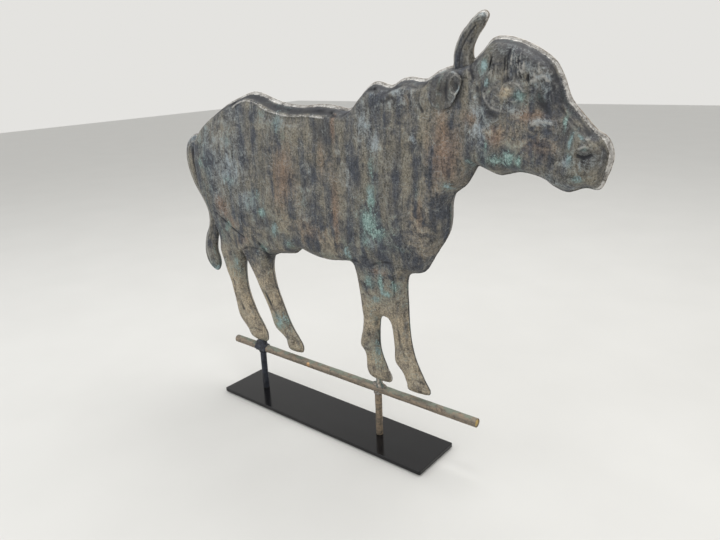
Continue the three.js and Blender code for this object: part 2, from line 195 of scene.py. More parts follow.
class Finish:
    """A material being drawn, with a Principled surface at its end."""

    def __init__(self, name, **uniform):
        self.material = bpy.data.materials.new(name)
        self.material.use_nodes = True
        self.tree = self.material.node_tree
        self.tree.nodes.clear()
        self.surface = self.tree.nodes.new("ShaderNodeBsdfPrincipled")
        output = self.tree.nodes.new("ShaderNodeOutputMaterial")
        self.tree.links.new(self.surface.outputs["BSDF"], output.inputs["Surface"])
        for socket, value in uniform.items():
            self.surface.inputs[socket.replace("_", " ")].default_value = value
        self.place = self.node("ShaderNodeTexCoord", {}, [], output="Object")

    def node(self, kind, settings, values, output=0):
        """Adds a node: its settings first, then what its sockets hold or are linked to."""
        node = self.tree.nodes.new(kind)
        for name, value in settings.items():
            setattr(node, name, value)
        pairs = values.items() if isinstance(values, dict) else enumerate(values)
        for key, value in pairs:
            if isinstance(value, Value):
                self.tree.links.new(value.socket, node.inputs[key])
            elif value is not None:
                node.inputs[key].default_value = value
        return Value(self, node.outputs[output])

    def stretched(self, scale):
        """The place on the object in metres, stretched for a pattern."""
        settings = {"vector_type": "POINT"}
        return self.node("ShaderNodeMapping", settings, [self.place, (0, 0, 0), (0, 0, 0), scale])

    def noise(self, scale, detail, rough, stretch=(1, 1, 1), twist=0):
        """Fractal noise from 0 to 1; the scale is in waves a metre."""
        place = self.stretched(stretch)
        values = {"Vector": place, "Scale": scale, "Detail": detail, "Roughness": rough,
                  "Distortion": twist}
        return self.node("ShaderNodeTexNoise", {"noise_dimensions": "3D"}, values)

    def cells(self, scale):
        """Distance to the nearest of scattered points."""
        place = self.stretched((1, 1, 1))
        settings = {"voronoi_dimensions": "3D", "feature": "F1"}
        return self.node("ShaderNodeTexVoronoi", settings, {"Vector": place, "Scale": scale})

    def painted(self, name):
        """A mask that is stored on the mesh."""
        return self.node("ShaderNodeAttribute", {"attribute_name": name}, [], output="Fac")

    def mix(self, share, first, second):
        """A colour between two colours."""
        first, second = [(*c, 1) if isinstance(c, tuple) else c for c in (first, second)]
        node = self.tree.nodes.new("ShaderNodeMix")
        node.data_type = "RGBA"
        for socket, value in zip((node.inputs[0], node.inputs[6], node.inputs[7]),
                                 (share, first, second)):
            if isinstance(value, Value):
                self.tree.links.new(value.socket, socket)
            else:
                socket.default_value = value
        return Value(self, node.outputs[2])

    def scaled(self, colour, brightness):
        """A colour made darker or lighter by a number."""
        node = self.tree.nodes.new("ShaderNodeVectorMath")
        node.operation = "SCALE"
        self.tree.links.new(colour.socket, node.inputs[0])
        self.tree.links.new(brightness.socket, node.inputs["Scale"])
        return Value(self, node.outputs[0])

    def bumped(self, height, strength, distance):
        values = {"Height": height, "Strength": strength, "Distance": distance}
        self.set("Normal", self.node("ShaderNodeBump", {}, values))

    def set(self, socket, value):
        if isinstance(value, Value):
            self.tree.links.new(value.socket, self.surface.inputs[socket])
        else:
            self.surface.inputs[socket].default_value = value


# %% [markdown]
# ## The patina
#
# Old copper sheet turns brown, then blue-black, and rain draws the green down in streaks. The
# finish is built in that order: brown and grey clouds, vertical streaks, dark hollows with a
# painted shade line inside the rim, the places that stay bright because hands and weather rub
# them with a painted highlight along the top edge, and last the powdery verdigris.


# %% Copper patina
DEEP = (0.046, 0.052, 0.066)
OLIVE_BROWN = (0.172, 0.156, 0.122)
RUSSET = (0.198, 0.128, 0.088)
# Dark patches, and a painted shade line inside the rim.
DARK_AND_SHADE = (0.024, 0.027, 0.036)
TAN = (0.300, 0.252, 0.182)
POWDER = (0.235, 0.275, 0.300)


def patina():
    """Aged copper sheet. The masks on the mesh say where each layer gathers."""
    finish = Finish("aged_copper", Specular_IOR_Level=0.4)
    clouds = finish.noise(13, 4, 0.6, twist=0.3)
    bands = finish.noise(1, 4, 0.6, stretch=(62, 50, 9), twist=0.3)
    brushed = finish.noise(1, 5, 0.7, stretch=(260, 200, 52), twist=0.9)
    mottle = finish.noise(70, 8, 0.72, twist=0.6)
    fine = finish.noise(430, 4, 0.75)
    relief = finish.painted("relief")

    tone = (clouds * 0.28 + bands * 0.42 + mottle * 0.30).smooth(0.42, 0.60)
    colour = finish.mix(tone, DEEP, OLIVE_BROWN)
    rust = (finish.painted("rust") + (bands - 0.5) * 1.5 + (mottle - 0.5) * 1.2).smooth(0.15, 1.1)
    colour = finish.mix(rust * 0.85, colour, RUSSET)
    tan = (finish.painted("tan") + (mottle - 0.5) * 1.6 + (clouds - 0.5) * 0.8).smooth(0.1, 1.0)
    colour = finish.mix(tan, colour, TAN)
    # Painted shade: the dark mask holds a shade line inside the rim as well as the dark patches.
    shade = (finish.painted("dark") + (clouds - 0.5) * 0.9 + (mottle - 0.5) * 1.1).smooth(0.2, 1.05)
    colour = finish.mix(shade * 0.85, colour, DARK_AND_SHADE)
    bloom = (finish.painted("bloom") + (mottle - 0.5) * 2.4 + (brushed - 0.5) * 1.2).smooth(0.25, 1.1)
    colour = finish.mix(bloom * 0.8, colour, POWDER)
    grain = (brushed - 0.5) * 1.6 + (fine - 0.5) * 2.8 + (mottle - 0.5) * 0.9
    colour = finish.scaled(colour, (grain * 1.25 + 1).smooth(-0.35, 2.1) * 1.75)

    curls = finish.noise(38, 5, 0.62, twist=2.6).near(0.5, 0.026)
    veins = finish.noise(24, 4, 0.55, twist=4.0).near(0.52, 0.012)
    scribble = curls * (finish.painted("bloom") * 0.7 + mottle - 0.28).smooth(0.15, 0.6)
    scribble = (scribble + veins * mottle.smooth(0.42, 0.55)).clipped()
    colour = finish.mix(scribble * 0.6, colour, (0.34, 0.37, 0.365))
    pits = finish.cells(260).smooth(0.22, 0.08) * mottle.smooth(0.44, 0.6)
    colour = finish.mix(pits * 0.6, colour, (0.02, 0.021, 0.023))
    hollow = (relief * -1 + (mottle - 0.5) * 0.5).smooth(0.1, 1.0)
    colour = finish.mix(hollow * 0.9, colour, (0.012, 0.013, 0.018))
    rubbed = (relief + (mottle - 0.5) * 1.5 + (fine - 0.5) * 0.8).smooth(0.22, 1.0)
    colour = finish.mix(rubbed * 0.8, colour, (0.33, 0.325, 0.305))

    crust = finish.noise(120, 8, 0.85, stretch=(1, 1, 0.55), twist=1.6)
    gathers = finish.painted("green")
    haze = (gathers * 1.0 + (mottle - 0.5) * 2.2 + (brushed - 0.5) * 1.2).smooth(0.15, 1.1)
    colour = finish.mix(haze * 0.62, colour, (0.128, 0.192, 0.182))
    green = (gathers * 0.86 + (crust - 0.5) * 3.2 + (fine - 0.5) * 1.0).smooth(0.46, 0.84)
    tint = finish.mix(fine.smooth(0.38, 0.62), (0.120, 0.215, 0.198), (0.34, 0.46, 0.43))
    tint = finish.mix(clouds.smooth(0.45, 0.6) * 0.7, tint, (0.25, 0.33, 0.37))
    colour = finish.mix(green * 0.85, colour, tint)

    # The bare mask is partly worn metal and partly a painted highlight along the top edge and the ridge of
    # the back.
    bare = (finish.painted("bare") + (mottle - 0.5) * 1.6 + (fine - 0.5) * 1.2).smooth(0.3, 0.8)
    metal = finish.mix((mottle + fine * 0.6).smooth(0.66, 0.92), (0.20, 0.185, 0.17), (0.56, 0.55, 0.53))
    colour = finish.mix(bare, colour, metal)

    finish.set("Base Color", colour)
    rough = 0.42 + mottle * 0.22 + fine * 0.1 + green * 0.2 + haze * 0.08 - bare * 0.1
    finish.set("Roughness", rough.clipped())
    finish.set("Metallic", ((1 - green) * (0.14 + bare * 0.3 + rubbed * 0.2)).clipped())
    finish.bumped(mottle * 0.7 + fine * 0.3 + green * 0.4 + brushed * 0.25, 0.75, 0.0009)
    return finish.material


COPPER = patina()


# %% [markdown]
# ## The other finishes
#
# The rod is tan with a green bloom on its upper side, the solder is dull grey with bright
# pits, the rear post is blue-black iron, and the plate is gloss enamel with dust.


# %% Rod, solder, iron, plate, rubber, brass and steel
def rod_finish(name, tan, grey, green_top):
    """Handled copper tube, greener on top where the rain stands."""
    finish = Finish(name, Specular_IOR_Level=0.5)
    bands = finish.noise(1, 4, 0.65, stretch=(40, 190, 190), twist=0.8)
    mottle = finish.noise(260, 4, 0.7)
    colour = finish.mix(bands.smooth(0.35, 0.65), tan, grey)
    colour = finish.mix(mottle.smooth(0.52, 0.68) * 0.7, colour, tuple(c * 0.3 for c in grey))
    normal = finish.node("ShaderNodeNewGeometry", {}, [], output="Normal")
    upward = finish.node("ShaderNodeSeparateXYZ", {}, [normal], output=2)
    crust = finish.noise(90, 5, 0.7)
    green = (upward * 0.5 * green_top + (crust - 0.5) * 1.7).smooth(0.28, 0.6)
    colour = finish.mix(green * 0.75, colour, (0.15, 0.19, 0.155))
    worn = (finish.painted("bare") + (mottle - 0.5) * 0.7).smooth(0.35, 0.7)
    colour = finish.mix(worn * 0.8, colour, (0.50, 0.30, 0.15))
    finish.set("Base Color", colour)
    finish.set("Roughness", (0.46 + mottle * 0.25 + green * 0.12 - worn * 0.2).clipped())
    finish.set("Metallic", (0.4 - green * 0.3 + worn * 0.4).clipped())
    finish.bumped(mottle + crust * 0.6, 0.35, 0.0005)
    return finish.material


ROD_COPPER = rod_finish("rod_copper", (0.27, 0.215, 0.16), (0.15, 0.132, 0.108), 1.0)
TUBE_COPPER = rod_finish("tube_copper", (0.29, 0.225, 0.16), (0.14, 0.12, 0.095), 0.3)


def solder_finish():
    """Lead solder: bright flecks where the bare mask is high, dull grey and green where it is not; on the
    seam bead that mask is partly a painted highlight.
    """
    finish = Finish("solder", Specular_IOR_Level=0.5)
    lumps = finish.noise(190, 5, 0.72)
    pits = finish.cells(420)
    stain = finish.noise(26, 4, 0.6)
    bright = finish.mix(lumps.smooth(0.40, 0.62), (0.17, 0.155, 0.138), (0.50, 0.475, 0.435))
    bright = finish.mix(stain.smooth(0.48, 0.64) * 0.5, bright, (0.34, 0.285, 0.225))
    dull = finish.mix(lumps.smooth(0.40, 0.65), (0.045, 0.046, 0.048), (0.135, 0.128, 0.112))
    dull = finish.mix(stain.smooth(0.52, 0.62) * 0.5, dull, (0.13, 0.20, 0.18))
    bare = (finish.painted("bare") + (lumps - 0.5) * 0.9).smooth(0.25, 0.75)
    colour = finish.mix(bare, dull, bright)
    colour = finish.mix(pits.smooth(0.3, 0.12) * 0.6, colour, (0.05, 0.052, 0.05))
    finish.set("Base Color", colour)
    finish.set("Roughness", (0.42 + lumps * 0.3).clipped())
    finish.set("Metallic", (lumps * 0.25 + bare * 0.35).clipped())
    finish.bumped(lumps + pits * 0.4, 0.5, 0.0006)
    return finish.material


def iron_finish():
    """Blackened post and filler with a little brown in its streaks."""
    finish = Finish("blue_black", Specular_IOR_Level=0.5)
    lumps = finish.noise(160, 4, 0.65)
    streaks = finish.noise(1, 3, 0.6, stretch=(260, 260, 30))
    colour = finish.mix(lumps.smooth(0.35, 0.7), (0.014, 0.016, 0.022), (0.045, 0.052, 0.07))
    colour = finish.mix(streaks.smooth(0.58, 0.75) * 0.5, colour, (0.11, 0.095, 0.085))
    finish.set("Base Color", colour)
    finish.set("Roughness", (0.34 + lumps * 0.3).clipped())
    finish.set("Metallic", (0.3 + streaks * 0.3).clipped())
    finish.bumped(lumps, 0.35, 0.0005)
    return finish.material


def enamel_finish():
    """Gloss black with dust and a film of handling."""
    finish = Finish("gloss_black", Specular_IOR_Level=0.25, Coat_Roughness=0.04)
    dust = finish.noise(1400, 2, 0.6)
    film = finish.noise(14, 4, 0.6)
    specks = dust.smooth(0.64, 0.74) * 0.5
    finish.set("Base Color", finish.mix(specks, (0.006, 0.006, 0.007), (0.09, 0.088, 0.085)))
    finish.set("Roughness", (0.07 + film.smooth(0.4, 0.7) * 0.09 + dust * 0.03).clipped())
    finish.set("Coat Weight", (0.16 - film * 0.12).clipped())
    finish.bumped(film + dust * 0.05, 0.02, 0.0005)
    return finish.material


def rubber_finish():
    """Matt moulded rubber."""
    finish = Finish("rubber", Specular_IOR_Level=0.3)
    grain = finish.noise(1500, 3, 0.6)
    colour = finish.mix(grain.smooth(0.4, 0.7), (0.01, 0.01, 0.01), (0.03, 0.03, 0.031))
    finish.set("Base Color", colour)
    finish.set("Roughness", (0.68 + grain * 0.2).clipped())
    finish.bumped(grain, 0.3, 0.0003)
    return finish.material


def turned_metal(name, bright, tarnish, rough):
    """Brass or steel that was turned and then handled."""
    finish = Finish(name, Specular_IOR_Level=0.5)
    spots = finish.noise(330, 4, 0.65)
    haze = finish.noise(60, 3, 0.6)
    colour = finish.mix((spots * 0.5 + haze * 0.5).smooth(0.42, 0.62), bright, tarnish)
    finish.set("Base Color", colour)
    finish.set("Roughness", (rough + spots * 0.2).clipped())
    finish.set("Metallic", (1 - spots * 0.35).clipped())
    finish.bumped(spots, 0.2, 0.0003)
    return finish.material


SOLDER = solder_finish()
IRON = iron_finish()
ENAMEL = enamel_finish()
RUBBER = rubber_finish()
BRASS = turned_metal("brass", (0.60, 0.43, 0.15), (0.34, 0.25, 0.10), 0.3)
STEEL = turned_metal("steel", (0.42, 0.42, 0.43), (0.22, 0.21, 0.20), 0.25)
print("finishes:", sorted(m.name for m in bpy.data.materials if m.users == 0))

# %% [markdown]
# ## Where things are
#
# Everything on the cow is drawn as [forward of the spindle, up from the top of the rod], in
# millimetres, the way a pattern maker would chalk it on a board. The frame says where the
# spindle and the rod are.

# %% Places from the frame
MM = 0.001
SHEET = 1.0  # thickness of the copper
SEAM = 0.3  # half the solder between the halves
tube_low, tube_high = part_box("spindle_tube")
rod_low, rod_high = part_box("rod_tube")
SPINDLE_X = (tube_low.x + tube_high.x) / 2
ROD_TOP = rod_high.z
ROD_RADIUS = (rod_high.y - rod_low.y) / 2 / MM
TUBE_RADIUS = (tube_high.y - tube_low.y) / 2 / MM
ROD_AXIS = -ROD_RADIUS  # up from the rod's top
PLATE_UP = (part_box("base_plate")[1].z - ROD_TOP) / MM
REAR_POST = (sum(corner.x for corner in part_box("rear_post")) / 2 - SPINDLE_X) / MM


def placed(forward, across, up):
    """Pattern board millimetres to the frame's metres."""
    columns = np.broadcast_arrays(np.asarray(forward, float), across, up)
    points = np.stack(columns, -1) * MM
    return points + np.array((SPINDLE_X, 0, ROD_TOP))


print(f"spindle at x {SPINDLE_X:.4f} m, rod top at z {ROD_TOP:.4f} m, plate at {PLATE_UP:.1f} mm")

# %% [markdown]
# ## The outline of the figure
#
# The points are the corners of the pattern. A Catmull-Rom curve through them gives back the
# flowing edge that snips and files leave on a sheet.

# %% Outlines
BACK = [
    [-345, 346], [-326, 365], [-299, 381], [-270, 395], [-240, 405], [-212, 412], [-190, 409],
    [-165, 401], [-140, 396], [-110, 394], [-75, 396], [-45, 393], [-30, 391], [-18, 398],
    [-5, 412], [10, 423], [22, 424], [40, 420], [55, 427], [70, 429], [90, 427], [108, 436],
    [126, 441],
]
HEAD = [
    [150, 446], [163, 456], [174, 467], [187, 469], [206, 465], [228, 455], [246, 442],
    [256, 425], [264, 406], [278, 390], [292, 376], [303, 369], [309, 358], [310, 347],
    [306, 332], [299, 317], [284, 317], [266, 311], [250, 316], [236, 324], [212, 328],
    [188, 323], [170, 328], [159, 331],
]
CHEST = [
    [152, 320], [144, 308], [128, 295], [122, 281], [122, 261], [118, 241], [103, 217],
    [85, 190], [62, 182],
]
LEFT_FRONT_LEG = [
    [56, 168], [57, 140], [59, 103], [62, 80], [69, 56], [82, 31], [91, 16], [85, 10], [57, 9],
    [53, 19], [46, 34], [34, 47], [33, 72], [28, 106],
]
RIGHT_FRONT_LEG = [
    [19, 111], [10, 108], [7, 80], [9, 56], [19, 32], [26, 19], [21, 10], [-7, 10], [-17, 19],
    [-19, 46], [-28, 58], [-23, 83], [-21, 104], [-24, 138], [-28, 174],
]
BELLY = [[-36, 183], [-82, 178], [-108, 181], [-132, 187], [-150, 177], [-188, 170]]
RIGHT_REAR_LEG = [
    [-202, 158], [-205, 138], [-199, 111], [-186, 80], [-172, 51], [-152, 26], [-149, 15],
    [-155, 9], [-180, 9], [-186, 26], [-208, 41], [-219, 70], [-238, 110], [-256, 146],
]
LEFT_REAR_LEG = [
    [-264, 159], [-271, 130], [-269, 92], [-254, 57], [-236, 31], [-231, 19], [-236, 8],
    [-265, 8], [-278, 24], [-296, 44], [-303, 80], [-309, 105], [-323, 144], [-326, 161],
    [-320, 184],
]
RUMP = [[-326, 213], [-343, 244], [-353, 270], [-357, 300], [-355, 328]]
COW = [*BACK, *HEAD, *CHEST, *LEFT_FRONT_LEG, *RIGHT_FRONT_LEG, *BELLY, *RIGHT_REAR_LEG,
       *LEFT_REAR_LEG, *RUMP]

BETWEEN_FRONT = [[30, -5], [29, 40], [20, 80], [20, 112], [40, 132], [45, 186]]
BETWEEN_REAR = [[-206, -5], [-212, 24], [-232, 60], [-248, 88], [-261, 128], [-264, 160]]
LEG_REGIONS = {
    "right_front_leg": [*BETWEEN_FRONT, [20, 196], [-10, 198], [-40, 190], [-60, 100], [-60, -5]],
    "left_front_leg": [*BETWEEN_FRONT, [56, 192], [78, 176], [110, 100], [110, -5]],
    "right_rear_leg": [*BETWEEN_REAR, [-250, 172], [-215, 176], [-184, 162], [-130, 60],
                       [-130, -5]],
    "left_rear_leg": [*BETWEEN_REAR, [-270, 178], [-290, 198], [-316, 212], [-350, 208],
                      [-350, -5]],
}
HORN = [
    [128, 430], [126, 446], [128, 460], [135, 474], [146, 486], [156, 494], [164, 496],
    [168, 491], [163, 481], [155, 470], [150, 458], [152, 446], [158, 432], [144, 422],
]
EAR = [
    [150, 428], [138, 436], [120, 437], [107, 428], [106, 414], [113, 400], [124, 395],
    [136, 398], [145, 410],
]
TAIL = [
    [-341, 341], [-358, 346], [-374, 341], [-386, 329], [-391, 308], [-388, 286], [-377, 261],
    [-360, 238], [-350, 218], [-352, 196], [-363, 177], [-370, 153], [-366, 129], [-350, 115],
    [-338, 121], [-336, 136], [-341, 152], [-337, 171], [-329, 193], [-327, 212], [-338, 236],
    [-347, 262], [-350, 300], [-346, 326],
]


def flowing(points, step, closed=True):
    """A Catmull-Rom curve through drawn points, with a point about every step millimetres."""
    points = np.array(points, float)
    count = len(points)
    made = []
    for index in range(count if closed else count - 1):
        if closed:
            p0, p1, p2, p3 = (points[(index + offset) % count] for offset in (-1, 0, 1, 2))
        else:
            p0, p1, p2, p3 = (points[min(max(index + offset, 0), count - 1)]
                              for offset in (-1, 0, 1, 2))
        pieces = max(1, round(float(np.linalg.norm(p2 - p1)) / step))
        for t in np.arange(pieces) / pieces:
            made.append(0.5 * (2 * p1 + (p2 - p0) * t + (2 * p0 - 5 * p1 + 4 * p2 - p3) * t**2
                               + (3 * p1 - p0 - 3 * p2 + p3) * t**3))
    if not closed:
        made.append(points[-1])
    return np.array(made)


cow_edge = flowing(COW, 3.0)
print("the cow's edge has", len(cow_edge), "points")

# %% [markdown]
# ## Distances
#
# Rims, grooves and ridges all ask the same thing: how far is a point from a line? These helpers
# answer for many points at once.


# %% Distance helpers
def line_distance(forward, up, points, closed=True):
    """Distance in millimetres from each place to a polyline."""
    ends = np.roll(points, -1, 0) if closed else points[1:]
    starts = points if closed else points[:-1]
    nearest = np.full(forward.shape, 1e9)
    for start, end in zip(starts, ends):
        along = end - start
        length = max(float(along @ along), 1e-9)
        share = np.clip(((forward - start[0]) * along[0] + (up - start[1]) * along[1]) / length, 0, 1)
        away = (forward - start[0] - share * along[0]) ** 2 + (up - start[1] - share * along[1]) ** 2
        np.minimum(nearest, away, out=nearest)
    return np.sqrt(nearest)


def inside(forward, up, points):
    """Which places lie inside a closed outline."""
    result = np.zeros(forward.shape, bool)
    for start, end in zip(points, np.roll(points, -1, 0)):
        if start[1] == end[1]:
            continue
        crossing = start[0] + (up - start[1]) / (end[1] - start[1]) * (end[0] - start[0])
        result ^= ((start[1] > up) != (end[1] > up)) & (forward < crossing)
    return result


def soft_step(value, low, high):
    """0 below low, 1 above high, and a soft step between."""
    share = np.clip((value - low) / (high - low), 0, 1)
    return share * share * (3 - 2 * share)


def hump(value, middle, half_width):
    """1 at the middle, falling away on both sides."""
    return np.exp(-(((value - middle) / half_width) ** 2))


# %% [markdown]
# ## How a sheet bulges
#
# A sheet that is hammered into a mould swells like a soap film: high where the figure is broad
# and low where it is narrow. Solving that film on a coarse grid gives a crown without the
# creases that a plain distance to the edge would leave along the middle of a leg.


# %% The film
class Film:
    """Solves a pressed film over an outline; its root is a round crown."""

    def __init__(self, outline, cell, rounds):
        low = outline.min(0) - 2 * cell
        size = np.ceil((outline.max(0) + 2 * cell - low) / cell).astype(int) + 1
        self.low = low
        self.cell = cell
        forward = low[0] + np.arange(size[0])[:, None] * cell
        up = low[1] + np.arange(size[1])[None, :] * cell
        forward, up = np.broadcast_arrays(forward, up)
        within = inside(forward, up, outline)
        film = np.where(within, line_distance(forward, up, outline) ** 2 * 2, 0.0)
        load = 2 * cell * cell
        for _ in range(rounds):
            around = np.roll(film, 1, 0) + np.roll(film, -1, 0)
            around += np.roll(film, 1, 1) + np.roll(film, -1, 1)
            film = np.where(within, (around + load) / 4, 0.0)
        self.crown = np.sqrt(film)

    def at(self, forward, up):
        """The crown's height at any place, between the grid's points."""
        a = np.clip((forward - self.low[0]) / self.cell, 0, self.crown.shape[0] - 1.001)
        b = np.clip((up - self.low[1]) / self.cell, 0, self.crown.shape[1] - 1.001)
        i, j = a.astype(int), b.astype(int)
        s, t = a - i, b - j
        c = self.crown
        lower = c[i, j] * (1 - s) + c[i + 1, j] * s
        upper = c[i, j + 1] * (1 - s) + c[i + 1, j + 1] * s
        return lower * (1 - t) + upper * t


cow_film = Film(cow_edge, cell=3.0, rounds=1200)
print("the film's highest crown is", round(float(cow_film.crown.max())), "mm")

# %% [markdown]
# ## Relief
#
# The mould gave the cow its rolled back, its folds and its face, and a round hammer left shallow
# dents everywhere. Each mark here is a stroke or a patch on the pattern board, with a width and
# a height; ridges are positive and grooves negative.

# %% Marks of the mould
BODY_DEPTH = 24.0
LEG_DEPTH = 0.62  # of the body's depth
KNEE_UP, BELLY_UP = 150, 245  # the depth grows between these heights
EDGE_ROUND = 10.0  # how far the sheet takes to turn over at the rim
JOINT_HALF_WIDTH, JOINT_DEPTH = 1.8, 1.3
UNDERCUT = 1.2  # the step behind the rim, over the back and the head

GROOVES = [  # points, half width, depth
    ([[-240, 397], [-222, 404], [-206, 406], [-190, 403], [-165, 394], [-140, 389], [-115, 387],
      [-80, 388], [-50, 386]], 2.3, 3.6),
    ([[-52, 385], [-33, 383], [-17, 390], [-5, 403], [8, 414], [22, 416]], 2.0, 2.6),
    ([[22, 416], [38, 411], [52, 417], [70, 421], [88, 418], [100, 423]], 1.8, 1.8),
    ([[-296, 375], [-266, 388], [-240, 397]], 1.9, 1.8),
    ([[30, 408], [42, 402], [54, 407], [60, 404]], 2.2, 1.2),
    ([[98, 392], [92, 404], [97, 420]], 2.4, 1.2),
    ([[-304, 226], [-292, 219], [-280, 212], [-263, 201], [-245, 193]], 2.4, 1.9),
    ([[-205, 160], [-202, 168], [-205, 178], [-213, 186]], 3.0, 2.0),
    ([[-70, 314], [-82, 304], [-92, 297], [-102, 286], [-106, 276], [-105, 260]], 5.0, 0.7),
    ([[168, 418], [172, 405], [180, 394], [192, 388]], 2.8, 1.3),
    ([[247, 428], [251, 418], [254, 408], [260, 398], [268, 389], [278, 379], [287, 371]],
     2.0, 2.2),
    ([[240, 420], [237, 412], [241, 402], [248, 394]], 4.5, 1.3),
    ([[281, 352], [287, 350], [294, 353]], 2.2, 2.6),
    ([[266, 330], [280, 329], [294, 332], [303, 336]], 1.5, 1.3),
    ([[243, 336], [250, 329], [258, 324], [270, 320]], 2.2, 1.0),
    ([[197, 413], [206, 409], [216, 409], [225, 412]], 1.4, 1.0),
    ([[200, 425], [210, 429], [222, 427], [232, 419]], 2.6, 1.3),
    ([[150, 452], [156, 440], [162, 428]], 2.4, 1.6),
    ([[160, 336], [158, 350], [152, 366]], 3.4, 0.9),
    ([[136, 306], [131, 318], [133, 334]], 3.0, 0.7),
    ([[-17, 27], [-4, 31], [14, 27]], 1.8, 1.0),
    ([[60, 27], [70, 32], [82, 27]], 1.8, 1.0),
    ([[-183, 26], [-170, 31], [-156, 28]], 1.8, 1.0),
    ([[-270, 24], [-256, 30], [-240, 28]], 1.8, 1.0),
    ([[2, 96], [8, 82], [6, 66]], 2.6, 1.6),
    ([[44, 110], [48, 84], [54, 62]], 2.6, 1.0),
    ([[-292, 110], [-286, 84], [-276, 60]], 3.0, 1.0),
    ([[-222, 112], [-208, 84], [-192, 58]], 3.0, 1.0),
]
RIDGES = [  # points, half width, height
    ([[-236, 392], [-222, 399], [-206, 402], [-190, 399], [-164, 389], [-140, 384], [-115, 382],
      [-85, 383], [-56, 381]], 1.5, 2.2),
    ([[176, 416], [179, 406], [187, 398], [200, 394]], 2.0, 1.0),
    ([[196, 413], [200, 419], [208, 423], [216, 421], [222, 414]], 1.3, 1.3),
    ([[198, 411], [204, 406], [212, 404], [221, 407]], 1.2, 1.1),
    ([[218, 421], [226, 424], [235, 424]], 1.1, 1.0),
    ([[222, 414], [231, 417], [240, 416]], 1.1, 0.9),
    ([[226, 421], [234, 426], [241, 428], [247, 425]], 2.0, 1.4),
    ([[222, 419], [230, 421], [238, 422]], 1.4, 0.8),
    ([[244, 424], [251, 421], [254, 412], [256, 403], [262, 398], [268, 390], [276, 384], [288, 368]],
     1.3, 1.7),
    ([[290, 368], [298, 366], [303, 360], [304, 350], [303, 338]], 1.6, 1.2),
    ([[282, 359], [288, 361], [294, 359]], 1.6, 1.2),
    ([[233, 382], [241, 384], [252, 383]], 1.8, 1.2),
    ([[238, 372], [241, 368], [244, 365]], 1.0, 0.5),
    ([[253, 366], [263, 368]], 1.0, 1.0),
    ([[147, 461], [152, 450], [153, 440], [158, 427], [161, 413]], 2.0, 1.2),
    ([[60, 340], [76, 346], [95, 352]], 1.2, 0.4),
    ([[85, 363], [80, 357], [84, 350], [93, 343]], 1.2, 0.5),
]
JOINTS = [  # where the stamped legs are soldered to the body
    [[-33, 190], [-18, 191], [4, 186], [20, 194], [40, 198], [57, 194], [72, 184]],
    [[-318, 211], [-300, 202], [-284, 190], [-268, 170]],
    [[-262, 164], [-250, 172], [-232, 176], [-212, 175], [-194, 167]],
]
SWELLS = [  # centre, radii, turn in degrees, height
    ([211, 415], [14, 8], 8, 2.4),
    ([290, 358], [16, 13], -50, 2.4),
    ([262, 330], [16, 8], -10, 1.6),
    ([190, 352], [34, 22], -25, 1.6),
    ([-262, 300], [70, 62], 30, 1.6),
    ([40, 270], [52, 74], 8, 1.8),
    ([20, 404], [14, 9], 0, 1.8),
    ([72, 410], [16, 9], 0, 1.6),
    ([-30, 300], [26, 90], 0, -1.2),
    ([-150, 290], [40, 90], 0, 0.8),
    ([98, 340], [22, 70], -8, 0.9),
    ([240, 402], [12, 18], 25, -1.8),
    ([-10, 76], [12, 16], 0, 1.8),
    ([50, 88], [9, 18], -12, 1.2),
    ([-290, 96], [14, 20], 0, 1.4),
    ([-222, 96], [14, 22], 20, 1.4),
    ([0, 20], [12, 7], 0, 1.0),
    ([72, 19], [12, 7], 0, 1.0),
    ([-168, 19], [12, 7], 0, 1.0),
    ([-254, 18], [12, 8], 0, 1.0),
]


def hair_locks(seed, count=44):
    """Short locks combed down over the poll, leaning outwards from the horn."""
    draws = np.random.default_rng(seed)
    locks = []
    for _ in range(count):
        forward = draws.uniform(182, 236)
        root = 456 - 0.006 * (forward - 196) ** 2 - draws.uniform(0, 22)
        length = draws.uniform(6, 16)
        lean = (forward - 200) * 0.08 + draws.uniform(-1, 1)
        points = [[forward, root], [forward + lean * 0.3, root - length / 2],
                  [forward + lean, root - length]]
        locks.append((points, draws.uniform(0.8, 1.3), draws.choice((-1.6, 1.1, 1.4))))
    return locks


def tapered_stroke(forward, up, points, half_width, height):
    """A rounded ridge or groove along a smooth line; it fades at both ends."""
    line = flowing(points, 4.0, closed=False)
    return height * hump(line_distance(forward, up, line, closed=False), 0, half_width)


def swell(forward, up, centre, radii, turn, height):
    """A soft oval mound, turned by degrees."""
    angle = math.radians(turn)
    a = (forward - centre[0]) * math.cos(angle) + (up - centre[1]) * math.sin(angle)
    b = (up - centre[1]) * math.cos(angle) - (forward - centre[0]) * math.sin(angle)
    return height * np.exp(-(a / radii[0]) ** 2 - (b / radii[1]) ** 2)


def waver(forward, up, seed, waves=10, shortest=14, longest=60):
    """Smooth seeded variation between about 0 and 1, so that no stroke is even."""
    draws = np.random.default_rng(seed)
    total = np.zeros(forward.shape)
    for _ in range(waves):
        heading = draws.uniform(0, 2 * math.pi)
        length = draws.uniform(shortest, longest)
        along = forward * math.cos(heading) + up * math.sin(heading)
        total += np.sin(along / length * 2 * math.pi + draws.uniform(0, 2 * math.pi))
    return 0.5 + total / (2 * math.sqrt(waves))


def mould_marks(forward, up):
    """The sharp part of the relief, in millimetres."""
    marks = np.zeros(forward.shape)
    for points, half_width, depth in GROOVES:
        marks -= tapered_stroke(forward, up, points, half_width, depth)
    for points, half_width, height in RIDGES:
        marks += tapered_stroke(forward, up, points, half_width, height)
    for line in JOINTS:
        marks -= tapered_stroke(forward, up, line, JOINT_HALF_WIDTH, JOINT_DEPTH)
    poll = (forward > 170) & (forward < 250) & (up > 405) & (up < 465)
    for lock in hair_locks(seed=17):
        marks[poll] += tapered_stroke(forward[poll], up[poll], *lock)
    return marks * (0.55 + 0.75 * waver(forward, up, 3))


